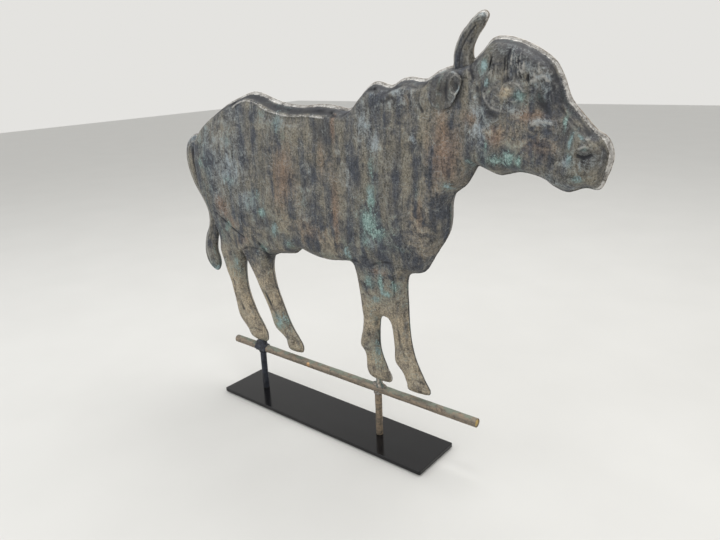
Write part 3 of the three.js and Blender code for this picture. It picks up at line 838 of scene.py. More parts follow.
def hammering(forward, up, seed, count=900):
    """Shallow round dents of a planishing hammer, and a few deeper knocks."""
    draws = np.random.default_rng(seed)
    dents = np.zeros(forward.shape)
    for _ in range(count):
        centre = draws.uniform((-360, 0), (315, 470))
        radius = draws.uniform(5, 15)
        depth = draws.normal(0, 0.05) * radius**0.9
        near = (np.abs(forward - centre[0]) < 2.5 * radius) & (np.abs(up - centre[1]) < 2.5 * radius)
        away = (forward[near] - centre[0]) ** 2 + (up[near] - centre[1]) ** 2
        dents[near] += depth * np.exp(-away / radius**2)
    return dents


def rim_width(forward, up):
    """The flat soldered edge: widest over the back, the head and the muzzle."""
    high = soft_step(up, 330, 372)
    return 1.0 + 1.3 * high + swell(forward, up, (308, 346), (18, 34), 0, 2.6)


def fullness(up):
    """The legs are stamped flatter than the body."""
    return LEG_DEPTH + (1 - LEG_DEPTH) * soft_step(up, KNEE_UP, BELLY_UP)


def cow_height(forward, up, seed):
    """How far a half of the cow stands from the seam's plane, and its sharp relief."""
    edge = np.where(inside(forward, up, cow_edge), line_distance(forward, up, cow_edge), 0)
    inner = edge - rim_width(forward, up)
    crown = BODY_DEPTH * (1 - np.exp(-cow_film.at(forward, up) / BODY_DEPTH)) * fullness(up)
    turn = 1 - np.clip(inner / EDGE_ROUND, 0, 1)
    shoulder = np.sqrt(1 - turn**2)
    marks = mould_marks(forward, up)
    undercut = soft_step(up, 360, 385) * hump(inner, 1.8, 1.3)
    broad = sum(swell(forward, up, *each) for each in SWELLS)
    dents = hammering(forward, up, seed) + 1.1 * (waver(forward, up, seed, 12, 34, 120) - 0.5)
    height = crown * shoulder + (broad + dents) * soft_step(inner, 0, 10)
    height += marks * soft_step(inner, -1, 4) - undercut * UNDERCUT
    relief = marks + dents * 0.35 - undercut * 1.6
    return np.maximum(height, 0) + SEAM + SHEET, relief, edge


# %% [markdown]
# ## Where the weather gathered
#
# The patina's layers are painted as soft patches: green where rain ran down the shoulder and lay
# on the haunch, rust on the neck and flank, dark under the hips, a grey bloom on the rump, and tan
# where the sheet is handled. A painted shade line lies inside the rim, and the top edge is painted
# bright, partly bare metal and partly a painted highlight.

# %% Patches of patina
GREEN = [  # centre, radii, turn, strength
    ([22, 320], [6, 26], 0, 0.75), ([20, 282], [9, 24], 0, 1.0), ([14, 252], [16, 20], 0, 1.05),
    ([24, 238], [24, 12], 10, 0.9), ([8, 226], [12, 16], 0, 0.7), ([60, 222], [22, 9], -15, 0.5),
    ([-190, 240], [11, 9], 0, 1.05), ([-197, 266], [8, 12], 0, 0.7), ([-216, 252], [26, 14], 40, 0.5),
    ([-258, 283], [16, 12], -30, 0.6), ([-326, 305], [8, 12], 0, 0.7), ([-324, 335], [8, 16], 0, 0.45),
    ([-254, 345], [10, 16], 0, 0.45), ([-175, 384], [12, 8], 0, 0.6), ([-146, 372], [12, 20], -10, 0.65),
    ([-132, 356], [7, 12], 0, 0.55), ([-168, 216], [8, 16], -20, 0.95), ([-142, 197], [12, 12], 0, 0.7),
    ([-204, 180], [14, 10], 0, 0.7), ([-104, 268], [8, 26], 10, 0.4), ([-70, 190], [20, 8], 0, 0.5),
    ([4, 163], [12, 14], 0, 0.85), ([23, 164], [5, 18], 0, 1.1), ([30, 151], [13, 6], 0, 1.1),
    ([12, 140], [12, 7], 0, 0.9), ([44, 164], [8, 14], 0, 0.75), ([-30, 200], [8, 16], 0, 0.85),
    ([4, 70], [6, 14], 0, 0.7), ([8, 56], [8, 12], 20, 0.8), ([-280, 140], [10, 22], 0, 0.75),
    ([-189, 55], [10, 20], -30, 0.95), ([-277, 208], [16, 8], 40, 0.75), ([-300, 190], [10, 22], 0, 0.5),
    ([175, 441], [4.5, 8], 0, 1.3), ([179, 424], [4, 8], 0, 0.9), ([192, 342], [15, 8], 10, 0.9),
    ([206, 344], [12, 12], 0, 0.9), ([217, 341], [5, 9], 0, 1.2), ([266, 384], [2.4, 9], 0, 1.15),
    ([273, 366], [2.4, 10], -12, 1.1), ([273, 348], [5, 9], 0, 0.9), ([283, 370], [7, 2], -40, 0.9),
    ([281, 328], [6, 6], 0, 0.8),
    ([130, 307], [5, 8], 40, 0.9), ([157, 337], [5, 6], 0, 0.85), ([288, 359], [6, 3], 10, 0.7),
    ([218, 410], [9, 7], 0, 0.9), ([181, 358], [3, 9], 0, 0.8),
    ([236, 352], [5, 14], 0, 0.45), ([90, 300], [10, 14], 0, 0.35),
]
RUST = [
    ([126, 345], [24, 60], -6, 0.8), ([80, 400], [10, 26], 0, 0.4), ([-42, 370], [5, 24], 0, 1.0),
    ([-45, 250], [9, 62], 0, 0.8), ([-140, 300], [26, 60], 0, 0.65), ([-95, 225], [34, 26], 0, 0.6),
    ([-285, 240], [16, 22], 40, 0.9), ([-262, 215], [14, 14], 0, 0.7), ([92, 265], [14, 34], 0, 0.55),
    ([190, 368], [15, 13], 0, 0.9), ([232, 388], [28, 10], -8, 0.75), ([240, 358], [24, 16], 0, 0.6),
    ([160, 386], [14, 12], 0, 0.6), ([-60, 320], [26, 40], 0, 0.35), ([90, 220], [18, 20], 0, 0.4),
    ([200, 415], [4, 3], 0, 0.8), ([20, 182], [26, 7], 0, 0.7), ([-250, 186], [20, 10], 30, 0.6),
]
DARK = [
    ([215, 452], [40, 18], -20, 1.1), ([246, 414], [11, 26], 20, 1.0), ([182, 392], [20, 14], -20, 0.8),
    ([140, 416], [16, 16], 0, 0.7), ([-60, 362], [22, 24], 0, 0.85), ([-26, 384], [18, 8], 0, 0.8),
    ([46, 285], [20, 34], 0, 0.45), ([60, 330], [16, 40], 0, 0.45), ([-235, 335], [24, 30], 20, 0.55),
    ([-186, 300], [10, 14], 0, 0.6), ([-62, 300], [12, 12], 0, 0.45), ([292, 350], [14, 14], 0, 0.8),
    ([30, 398], [30, 16], 0, 0.6), ([266, 372], [12, 16], 40, 0.6),
    ([150, 370], [12, 22], 0, 0.5), ([-20, 350], [12, 40], 0, 0.4), ([164, 440], [10, 16], 20, 0.6),
]
BLOOM = [
    ([-256, 300], [30, 44], 0, 0.8), ([-300, 340], [34, 34], 30, 0.5), ([-250, 376], [40, 16], 20, 0.5),
    ([10, 375], [14, 28], 0, 0.75), ([27, 350], [9, 16], 0, 0.9), ([-225, 255], [26, 20], 0, 0.7),
    ([-150, 378], [60, 12], -8, 0.45), ([-104, 268], [14, 30], 10, 0.4), ([245, 384], [14, 4], 0, 1.1),
    ([172, 372], [16, 14], 0, 0.7), ([270, 345], [8, 6], 0, 1.0), ([252, 326], [10, 8], 0, 0.7),
    ([85, 361], [5, 7], 20, 1.1), ([14, 225], [10, 8], 0, 0.8), ([120, 405], [5, 16], 10, 0.9),
    ([240, 428], [10, 3], 0, 0.8), ([60, 414], [30, 6], 0, 0.7), ([-90, 310], [9, 20], 20, 0.35),
    ([-262, 310], [56, 66], 20, 0.55), ([-285, 250], [26, 34], 0, 0.45), ([222, 436], [34, 16], -20, 0.42),
    ([236, 418], [18, 10], -30, 0.42), ([286, 346], [16, 20], 0, 0.42), ([262, 320], [16, 6], -15, 0.75),
    ([205, 398], [14, 5], -10, 0.55), ([168, 396], [10, 30], 10, 0.60), ([60, 404], [60, 12], 0, 0.45),
    ([175, 436], [8, 12], 0, 0.5), ([-20, 300], [14, 40], 10, 0.35), ([20, 180], [16, 20], 0, 0.35),
]


TANNED = [
    ([203, 413], [8, 5], 20, 1.0), ([212, 366], [26, 20], -20, 0.50), ([236, 372], [30, 16], -20, 0.42),
    ([182, 372], [10, 5], -10, 0.75), ([226, 346], [16, 12], 0, 0.40), ([40, 150], [34, 34], 0, 0.50),
    ([90, 240], [26, 40], 0, 0.48), ([110, 300], [14, 20], 0, 0.35), ([-120, 225], [60, 18], 0, 0.35),
    ([-230, 200], [30, 16], 0, 0.35), ([54, 110], [16, 40], 0, 0.45), ([-60, 206], [30, 16], 0, 0.35),
]


def patches(forward, up, table, spread=1.0):
    """The strongest of a table's soft patches at each place."""
    mask = np.zeros(forward.shape)
    for centre, radii, turn, strength in table:
        wide = [radius * spread for radius in radii]
        np.maximum(mask, swell(forward, up, centre, wide, turn, strength), out=mask)
    return mask


def rubbed_places(forward, up):
    """How bare the edge is, bright over the back, head and muzzle and dark below: partly wear, partly a
    painted highlight on the top edge where the overhead light falls.
    """
    # Painted highlight: brighter above this height, where the overhead light falls on the top edge.
    high = soft_step(up, 345, 380)
    muzzle = swell(forward, up, (306, 345), (18, 40), 0, 1)
    hoof = swell(forward, up, (24, 22), (7, 18), 0, 0.7)
    return np.clip(0.04 + high + muzzle + hoof, 0, 1)


def shaded_edge(forward, up, edge):
    """A painted shade line inside the rim, where the groove beside it lies in shade, strongest under the
    back and the brow; the dark patches are joined to it.
    """
    inner = edge - rim_width(forward, up)
    line = hump(inner, 2.2, 2.6) * (0.45 + 0.9 * waver(forward, up, 12))
    return np.maximum(patches(forward, up, DARK), line * (0.5 + 0.6 * soft_step(up, 320, 380)))


def bare_edge(forward, up, edge):
    """Where the rim and the ridge line along the back are painted bright: partly bare metal, partly a
    painted highlight where the overhead light falls.
    """
    rim = soft_step(rim_width(forward, up) - edge, -0.7, 0.6) * rubbed_places(forward, up)
    # The ridge line along the back is a painted highlight as well as bare metal.
    return np.maximum(rim, tapered_stroke(forward, up, RIDGES[0][0], 1.5, 0.62))


def green_film(forward, up):
    """Verdigris: thick in the patches, thin round them, and thin on the rump and the legs."""
    thin = patches(forward, up, GREEN, 2.0) * 0.45
    rump = 0.34 * hump(forward, -318, 26) * soft_step(up, 190, 240)
    legs = 0.24 * soft_step(190 - up, 0, 60) * waver(forward, up, 31, 10, 24, 70)
    return np.maximum(patches(forward, up, GREEN), np.maximum(thin, rump) + legs)


def tanned_places(forward, up):
    """The lower legs are handled, so they stay tan, and so are a few places on the face."""
    legs = 0.92 * soft_step(190 - up, -40, 110) * (0.7 + 0.4 * waver(forward, up, 9, 12, 16, 60))
    return np.maximum(legs, patches(forward, up, TANNED))


# %% [markdown]
# ## Cutting the mesh
#
# A constrained Delaunay triangulation turns the pattern into a mesh: the outline and the leg
# joints are edges that it must keep, and scattered points fill the middle, closer together on
# the head and the legs where the relief is fine.


# %% Triangulate the pattern
def scatter(outline, spacing, keep, seed):
    """Loose triangular grid of points inside an outline."""
    draws = np.random.default_rng(seed)
    low, high = outline.min(0), outline.max(0)
    columns = np.arange(low[0], high[0], spacing)
    rows = np.arange(low[1], high[1], spacing * 0.866)
    forward, up = np.meshgrid(columns, rows)
    forward = forward + (np.arange(len(rows))[:, None] % 2) * spacing / 2
    forward, up = (a.ravel() + draws.uniform(-0.18, 0.18, a.size) * spacing for a in (forward, up))
    chosen = inside(forward, up, outline) & keep(forward, up)
    forward, up = forward[chosen], up[chosen]
    clear = line_distance(forward, up, outline) > spacing * 0.55
    return np.column_stack((forward[clear], up[clear]))


def rings(outline, distances):
    """Points at fixed distances inside an outline, so that a rim turns over crisply."""
    kept = []
    ahead, behind = np.roll(outline, -1, 0), np.roll(outline, 1, 0)
    along = ahead - behind
    along /= np.linalg.norm(along, axis=1)[:, None]
    inward = np.column_stack((along[:, 1], -along[:, 0]))
    for distance in distances:
        moved = outline + inward * distance
        true = line_distance(moved[:, 0], moved[:, 1], outline)
        kept.append(moved[np.abs(true - distance) < 0.3])
    return np.vstack(kept)


def triangulate(outline, points, cuts=()):
    """Triangles of the outline's inside; cuts are lines that stay edges."""
    places = [Vector(p) for p in outline]
    edges = [(i, (i + 1) % len(outline)) for i in range(len(outline))]
    for cut in cuts:
        start = len(places)
        places.extend(Vector(p) for p in cut)
        edges.extend((start + i, start + i + 1) for i in range(len(cut) - 1))
    places.extend(Vector(p) for p in points)
    places, _, faces, *_ = delaunay_2d_cdt(places, edges, [], 0, 1e-3)
    places = np.array([tuple(p) for p in places])
    faces = np.array(faces)
    middle = places[faces].mean(1)
    a, b, c = (places[faces[:, k]] for k in range(3))
    area = (b[:, 0] - a[:, 0]) * (c[:, 1] - a[:, 1]) - (b[:, 1] - a[:, 1]) * (c[:, 0] - a[:, 0])
    good = inside(middle[:, 0], middle[:, 1], outline) & (np.abs(area) > 1e-4)
    faces = faces[good]
    faces[area[good] < 0] = faces[area[good] < 0][:, ::-1]
    return places, faces


FINEST, FINE, COARSE = ((1.15, 1.8, 2.8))


def is_finest(forward, up):
    """The hair of the poll and the folds of the muzzle."""
    poll = (forward > 168) & (forward < 252) & (up > 396)
    muzzle = (forward > 268) & (up > 300)
    return poll | muzzle


def is_fine(forward, up):
    """The rest of the head, the legs and the rolled back."""
    fine = ((forward > 140) & (up > 300)) | (up < 215) | ((up > 372) & (forward < 150))
    return fine & ~is_finest(forward, up)


JOINT_STEP = 4.0
RIM_RINGS = (0.9, 1.8, 3.0, 4.2)  # millimetres in from the edge
joint_lines = [flowing(region, JOINT_STEP, closed=False) for region in LEG_REGIONS.values()]
cow_points = np.vstack((
    scatter(cow_edge, FINE, is_fine, 11),
    scatter(cow_edge, COARSE, lambda f, u: ~is_fine(f, u) & ~is_finest(f, u), 12),
    scatter(cow_edge, FINEST, is_finest, 13),
    rings(cow_edge, RIM_RINGS),
))
cow_places, cow_faces = triangulate(cow_edge, cow_points, joint_lines)
print("a half of the cow has", len(cow_places), "points and", len(cow_faces), "triangles")


# %% [markdown]
# ## From a triangulated pattern to a piece of copper
#
# The open skin gets its height, the masks are stored on its points, and Solidify gives the sheet
# its thickness on the inside. The modifier is applied by reading the evaluated mesh.


# %% Skins
def finished(piece, body, slot, *nodes):
    """Hands a piece to the frame: what carries it and what it stands for; slot, its finish, is not used.
    """
    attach(piece, body)
    if nodes:
        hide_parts(*nodes)
    return piece


def applied(piece):
    """Bakes a piece's modifiers into its mesh."""
    graph = bpy.context.evaluated_depsgraph_get()
    graph.update()
    mesh = bpy.data.meshes.new_from_object(piece.evaluated_get(graph))
    piece.modifiers.clear()
    piece.data = mesh
    return piece


def point_values(mesh, what):
    """A row of three numbers for each point of a mesh: its co or its normal."""
    values = np.zeros(len(mesh.vertices) * 3)
    mesh.vertices.foreach_get(what, values)
    return values.reshape(-1, 3)


def store_mask(mesh, name, values):
    """One number for each point, which a finish reads by its name."""
    attribute = mesh.attributes.new(name, "FLOAT", "POINT")
    attribute.data.foreach_set("value", np.asarray(values, np.float32))


def shaded(mesh, smooth):
    """Smooth or flat shading for the whole mesh."""
    mesh.polygons.foreach_set("use_smooth", [smooth] * len(mesh.polygons))


def mesh_piece(name, points, faces, material, masks=None, smooth=True):
    """A mesh object at the origin from points in metres."""
    mesh = bpy.data.meshes.new(name)
    mesh.from_pydata([tuple(p) for p in points], [], [tuple(int(i) for i in f) for f in faces])
    for mask, values in (masks or {}).items():
        store_mask(mesh, mask, values)
    mesh.materials.append(material)
    shaded(mesh, smooth)
    return linked(name, mesh)


MASKS = ("relief", "tan", "green", "rust", "dark", "bloom", "bare")


def all_masks(forward, **painted):
    """Every mask that the patina reads; those that aren't given are zero."""
    return {name: np.broadcast_to(painted.get(name, 0.0), forward.shape) for name in MASKS}


def sheet_piece(name, places, faces, height, side, material, masks):
    """A copper sheet whose outer face stands at a height from the seam's plane."""
    used = np.unique(faces)
    renumber = np.zeros(len(places), int)
    renumber[used] = np.arange(len(used))
    points = placed(places[used, 0], side * height[used], places[used, 1])
    faces = renumber[faces]
    if side > 0:
        faces = faces[:, ::-1]
    kept = {mask: values[used] for mask, values in masks.items()}
    piece = mesh_piece(name, points, faces, material, kept)
    thicken = piece.modifiers.new("thickness", "SOLIDIFY")
    thicken.thickness = SHEET * MM
    thicken.offset = -1
    return applied(piece)


SIDES = {"right": -1, "left": 1}
COW_SEED = 40  # each side has its own dents
FULL_RELIEF = 1.8  # millimetres of relief that the patina sees as full
for hand, side in SIDES.items():
    forward, up = cow_places.T
    height, relief, edge = cow_height(forward, up, COW_SEED + side)
    masks = all_masks(
        forward,
        relief=np.clip(relief / FULL_RELIEF, -1, 1),
        tan=tanned_places(forward, up),
        green=green_film(forward, up),
        rust=patches(forward, up, RUST),
        dark=shaded_edge(forward, up, edge),
        bloom=patches(forward, up, BLOOM),
        bare=bare_edge(forward, up, edge),
    )
    middle = cow_places[cow_faces].mean(1)
    left_over = np.ones(len(cow_faces), bool)
    for leg, region in LEG_REGIONS.items():
        edge_line = np.vstack((flowing(region, JOINT_STEP, closed=False), region[0]))
        chosen = inside(middle[:, 0], middle[:, 1], edge_line)
        left_over &= ~chosen
        piece = sheet_piece(f"{leg}_{hand}_sheet", cow_places, cow_faces[chosen], height, side,
                            COPPER, masks)
        finished(piece, "vane", "leg_copper", f"{leg}_{hand}_half")
    body = sheet_piece(f"{hand}_body_sheet", cow_places, cow_faces[left_over], height, side,
                       COPPER, masks)
    finished(body, "vane", "body_copper", f"{hand}_body_shell")
    print(hand, "half:", len(body.data.polygons), "faces on the body sheet")

# %% [markdown]
# ## Horn and tail
#
# The horn and the tail are small stampings of their own, soldered into the seam. They are made as
# the cow is: a drawn outline, a film over it, a few struck lines and their own hammer dents.

# %% Horn and tail
HORN_LINES = [
    ([[131, 436], [131, 455], [139, 472], [152, 486], [162, 491]], 1.4, 1.3),
    ([[137, 432], [138, 454], [146, 470], [156, 482]], 1.2, -1.4),
    ([[150, 436], [147, 452], [152, 466], [162, 482]], 1.4, 1.0),
]
TAIL_LINES = [
    ([[-350, 336], [-366, 334], [-378, 322], [-382, 304], [-378, 284], [-366, 260], [-350, 236],
      [-341, 214], [-346, 192], [-356, 172], [-360, 150], [-352, 128]], 1.6, 1.4),
    ([[-350, 330], [-364, 324], [-370, 306], [-366, 286], [-356, 262], [-345, 238]], 1.8, -2.0),
    ([[-336, 206], [-339, 190], [-348, 172], [-351, 150], [-345, 132]], 1.3, -1.3),
    ([[-362, 176], [-366, 156], [-362, 136]], 1.2, -1.0),
]


LIMB_SEED = 60
LIMB_RIM = 0.9  # flat soldered edge
LIMB_ROUND = 5.0  # how far the sheet takes to turn over at it


def everywhere(forward, up):
    """Keeps every place."""
    return np.ones(forward.shape, bool)


def small_pattern(outline, step, spacing, ring_places, seed):
    """An evenly triangulated small stamping: its edge line, places, faces and edge distance."""
    edge_line = flowing(outline, step)
    points = np.vstack((scatter(edge_line, spacing, everywhere, seed),
                        rings(edge_line, ring_places)))
    places, faces = triangulate(edge_line, points)
    return edge_line, places, faces, line_distance(*places.T, edge_line)


def limb_sheets(name, outline, lines, depth, spacing, masks_at):
    """Two mirrored halves of a small stamping, each with a round crown and drawn lines."""
    edge_line, places, faces, edge = small_pattern(outline, spacing, spacing, (0.7, 1.6), 21)
    forward, up = places.T
    film = Film(edge_line, cell=1.0, rounds=500)
    marks = sum(tapered_stroke(forward, up, *line) for line in lines)
    crown = depth * (1 - np.exp(-film.at(forward, up) / depth))
    turn = np.sqrt(1 - (1 - np.clip((edge - LIMB_RIM) / LIMB_ROUND, 0, 1)) ** 2)
    for hand, side in SIDES.items():
        dents = hammering(forward, up, LIMB_SEED + side)
        height = crown * turn + (marks + dents * 0.5) * soft_step(edge, 0.5, 3) + SEAM + SHEET
        height = np.maximum(height, SEAM + SHEET)
        relief = np.clip((marks + dents * 0.4) / 1.4, -1, 1)
        masks = all_masks(forward, relief=relief, **masks_at(forward, up, edge))
        piece = sheet_piece(f"{hand}_{name}_sheet", places, faces, height, side, COPPER, masks)
        finished(piece, "vane", "body_copper", f"{hand}_{name}_half")
    print(name, "has", len(faces), "triangles a side")
    return edge_line


def horn_masks(forward, up, edge):
    """Bare solder on the outer curve and the tip."""
    outer = soft_step(150 - forward + (up - 460) * 0.55, -4, 12)
    tip = soft_step(up, 478, 492)
    rubbed = np.clip(0.1 + outer * 0.7 + tip * 0.6, 0, 1)
    return {"bare": soft_step(1.5 - edge, -0.8, 0.6) * rubbed, "dark": 0.35, "bloom": tip * 0.7}


def tail_masks(forward, up, edge):
    """Bare at the top of the loop, green down the outside of the switch."""
    outer = soft_step(3.6 - edge, -0.8, 1.5) * soft_step(-forward - 345 + (230 - up) * 0.03, -8, 6)
    green = outer * 0.9 * soft_step(300 - up, 0, 60) + soft_step(150 - up, 0, 30) * 0.5
    return {"bare": soft_step(2.0 - edge, -0.6, 0.6) * soft_step(up, 300, 330) * 0.8,
            "green": green, "dark": 0.15, "bloom": soft_step(up, 310, 335) * 0.7}


horn_edge = limb_sheets("horn", HORN, HORN_LINES, 9.5, 1.3, horn_masks)
tail_edge = limb_sheets("tail", TAIL, TAIL_LINES, 5.5, 1.6, tail_masks)


# %% [markdown]
# ## The ears
#
# Each ear is a leaf cut from the same sheet, cupped over a stake and tacked on with solder, so it
# stands a little off the head and takes its shape from it. The height field of the head is
# therefore used again, with the leaf's rolled edge and folds on top.

# %% Ear
EAR_STAND = 2.2  # how far the leaf stands off the head
EAR_FOLDS = [  # points, half width, height
    ([[152, 426], [142, 432], [136, 424], [138, 414], [148, 410]], 1.6, 1.8),
    ([[121, 423], [119, 413], [122, 402]], 1.5, 1.3),
    ([[131, 426], [130, 414], [133, 404]], 1.8, -1.2),
    ([[143, 422], [145, 417]], 3.0, -2.2),
]


def ear_sheets():
    """A cupped leaf that follows the side of the head."""
    _, places, faces, edge = small_pattern(EAR, 1.2, 1.1, (0.6, 1.4), 31)
    forward, up = places.T
    rolled = 1.92 * hump(edge, 1.5, 1.3) * waver(forward, up, 5, 10, 9, 30)
    cup = swell(forward, up, (126, 416), (11, 11), 0, -1.6)
    marks = rolled + cup + sum(tapered_stroke(forward, up, *line) for line in EAR_FOLDS)
    masks = all_masks(forward, relief=np.clip(marks / 2.6, -1, 1), dark=0.55,
                      green=0.35 * hump(forward, 121, 4),
                      bloom=np.clip(rolled / 1.9, 0, 0.8))
    for hand, side in SIDES.items():
        head, _, _ = cow_height(forward, up, COW_SEED + side)
        height = head + SHEET + EAR_STAND + marks
        piece = sheet_piece(f"{hand}_ear_leaf", places, faces, height, side, COPPER, masks)
        finished(piece, "vane", "body_copper", f"{hand}_ear")
    print("each ear has", len(faces), "triangles a side")


ear_sheets()

# %% [markdown]
# ## Solder
#
# Solder follows the seams as an uneven bead, and lies in blobs over the joints of the legs. A
# Geometry Nodes tree lays such a bead along any path: it resamples the path, varies its radius
# with noise and sweeps a small circle along it.


# %% A tree that lays a bead along a path
class Tree:
    """A Geometry Nodes tree with one path in and one mesh out."""

    def __init__(self, name, **sizes):
        self.group = bpy.data.node_groups.new(name, "GeometryNodeTree")
        face = self.group.interface
        face.new_socket("Geometry", in_out="INPUT", socket_type="NodeSocketGeometry")
        face.new_socket("Geometry", in_out="OUTPUT", socket_type="NodeSocketGeometry")
        self.ids = {}
        for size, value in sizes.items():
            kind = value if isinstance(value, str) else type(value).__name__.capitalize()
            socket = face.new_socket(size, in_out="INPUT", socket_type=f"NodeSocket{kind}")
            self.ids[size] = socket.identifier
            if kind in ("Float", "Int"):
                socket.default_value = value
        self.inputs = self.group.nodes.new("NodeGroupInput")
        self.outputs = self.group.nodes.new("NodeGroupOutput")

    def size(self, name):
        return self.inputs.outputs[name]

    def fill(self, socket, value):
        """Links another node's output to a socket, or gives the socket its number."""
        if isinstance(value, bpy.types.NodeSocket):
            self.group.links.new(value, socket)
        else:
            socket.default_value = value

    def add(self, kind, settings=None, output=0, **sockets):
        """Adds a node; sockets are given by name with _ for a space."""
        node = self.group.nodes.new(kind)
        for name, value in (settings or {}).items():
            setattr(node, name, value)
        for name, value in sockets.items():
            self.fill(node.inputs[name.replace("_", " ")], value)
        return node.outputs[output]

    def maths(self, operation, first, second):
        node = self.group.nodes.new("ShaderNodeMath")
        node.operation = operation
        self.fill(node.inputs[0], first)
        self.fill(node.inputs[1], second)
        return node.outputs[0]

    def end(self, geometry):
        """Realize Instances and Set Material close every tree."""
        real = self.add("GeometryNodeRealizeInstances", Geometry=geometry)
        dressed = self.add("GeometryNodeSetMaterial", Geometry=real, Material=self.size("Finish"))
        self.group.links.new(dressed, self.outputs.inputs[0])

    def run(self, source, name, **values):
        """Runs the tree on an object and returns the result as a plain mesh object."""
        modifier = source.modifiers.new("tree", "NODES")
        modifier.node_group = self.group
        for size, value in values.items():
            modifier[self.ids[size]] = value
        graph = bpy.context.evaluated_depsgraph_get()
        graph.update()
        mesh = bpy.data.meshes.new_from_object(source.evaluated_get(graph))
        bpy.data.objects.remove(source)
        mesh.name = name
        shaded(mesh, True)
        return linked(name, mesh)


def bead_tree():
    """A circle swept along the path, thicker and thinner by a noise."""
    tree = Tree("bead", Radius=0.001, Step=0.0015, Lumps=0.5, Grain=120.0, Sides=8,
                Finish="Material")
    path = tree.add("GeometryNodeMeshToCurve", Mesh=tree.size("Geometry"))
    path = tree.add("GeometryNodeResampleCurve", {"mode": "LENGTH"}, Curve=path,
                    Length=tree.size("Step"))
    noise = tree.add("ShaderNodeTexNoise", Scale=tree.size("Grain"), Detail=3.0)
    swing = tree.maths("MULTIPLY", tree.maths("SUBTRACT", noise, 0.5), tree.size("Lumps"))
    section = tree.add("GeometryNodeCurvePrimitiveCircle", Resolution=tree.size("Sides"),
                       Radius=tree.size("Radius"))
    tree.end(tree.add("GeometryNodeCurveToMesh", Curve=path, Profile_Curve=section,
                      Scale=tree.maths("ADD", swing, 1.0), Fill_Caps=True))
    return tree


BEAD = bead_tree()


def path_object(paths):
    """Loose polylines as a mesh, one for each path of points in metres."""
    points, edges = [], []
    for path, closed in paths:
        start = len(points)
        points.extend(tuple(p) for p in path)
        edges.extend((start + i, start + i + 1) for i in range(len(path) - 1))
        if closed:
            edges.append((start + len(path) - 1, start))
    mesh = bpy.data.meshes.new("paths")
    mesh.from_pydata(points, edges, [])
    return linked("paths", mesh)


# %% [markdown]
# ## The beads on the seams
#
# One bead runs right round the cow in the plane of the seam, and smaller ones round the horn and
# the tail. Each point of the bead is given how bare it is from where it lies: bright on top and dull
# below, partly worn metal and partly a painted highlight where the overhead light falls on the top
# edge.


# %% Seam beads
def seam_bead(name, outlines, **sizes):
    """A bead of solder round closed outlines in the plane of the seam."""
    paths = [(placed(line[:, 0], 0, line[:, 1]), True) for line in outlines]
    bead = BEAD.run(path_object(paths), name, Sides=8, Finish=SOLDER, **sizes)
    board = (point_values(bead.data, "co") - np.array((SPINDLE_X, 0, ROD_TOP))) / MM
    # Painted highlight: the bead is brighter on top, where the light falls.
    store_mask(bead.data, "bare", rubbed_places(board[:, 0], board[:, 2]))
    return bead


seam = seam_bead("seam_bead", [cow_edge], Radius=0.0008, Step=0.0013, Lumps=1.3, Grain=150.0)
finished(seam, "vane", "solder", "seam_solder_back", "seam_solder_belly")
limb_seams = seam_bead("limb_seam_bead", [horn_edge, tail_edge], Radius=0.0009, Step=0.0014,
                       Lumps=1.4, Grain=170.0)
finished(limb_seams, "vane", "solder")
print("seam bead:", len(seam.data.polygons), "faces")

# %% [markdown]
# ## Rod, tubes and posts
#
# The rod is a length of half-inch tube that has been handled and knocked for a century. Turned
# profiles swept round an axis make it, with a hair of seeded unevenness so that highlights waver.


# %% Turned pieces
SAME_PLACE = 1e-6  # metres


def weld(piece):
    """Merges doubles, such as the points of a pole, and turns the faces outwards."""
    bm = bmesh.new()
    bm.from_mesh(piece.data)
    bmesh.ops.remove_doubles(bm, verts=bm.verts, dist=SAME_PLACE)
    bmesh.ops.dissolve_degenerate(bm, edges=bm.edges, dist=SAME_PLACE)
    bmesh.ops.recalc_face_normals(bm, faces=bm.faces)
    bm.to_mesh(piece.data)
    bm.free()


def turned_piece(name, rings_of, centre_of, material, sides=48, uneven=0.0, seed=1, bare=None):
    """A surface of revolution. rings_of lists (along, radius); centre_of puts a ring in place."""
    draws = np.random.default_rng(seed)
    angles = np.arange(sides) / sides * 2 * math.pi
    waves = [(draws.integers(1, 4), draws.uniform(0, 6.3), draws.uniform(30, 120)) for _ in range(5)]
    points, faces, masks = [], [], []
    for along, radius in rings_of:
        wobble = sum(np.sin(lobes * angles + phase + along / length * 6.3)
                     for lobes, phase, length in waves)
        radii = radius + uneven * wobble / 2.5 * (radius > 0)
        points.append(centre_of(along, radii * np.cos(angles), radii * np.sin(angles)))
        masks.append(bare(along, angles) if bare else np.zeros(sides))
    for ring in range(len(rings_of) - 1):
        for side in range(sides):
            after = (side + 1) % sides
            a, b = ring * sides + side, ring * sides + after
            faces.append((a, b, b + sides, a + sides))
    piece = mesh_piece(name, np.vstack(points), faces, material, {"bare": np.hstack(masks)})
    weld(piece)
    return piece


def lying(along, a, b):
    """A ring of a piece that lies along the rod's axis."""
    return placed(along, a, ROD_AXIS + b)


def standing(x):
    """Rings of a piece that stands upright at a place along the rod."""
    return lambda along, a, b: placed(x + a, b, along)


def pipe_rings(start, end, outer, inner, step=2.5, lip=0.5):
    """Outer wall, rounded lip, inner wall and lip again, closed on itself."""
    low, high = sorted((start, end))
    walls = np.linspace(low + lip, high - lip, max(2, int((high - low) / step)))
    low_lip = [(low, inner + lip * 0.6), (low, outer - lip), (low + lip * 0.3, outer - lip * 0.3)]
    high_lip = [(high - lip * 0.3, outer - lip * 0.3), (high, outer - lip), (high, inner + lip * 0.6)]
    bore = [(high - lip, inner), (low + lip, inner), (low, inner + lip * 0.6)]
    return [*low_lip, *((along, outer) for along in walls), *high_lip, *bore]


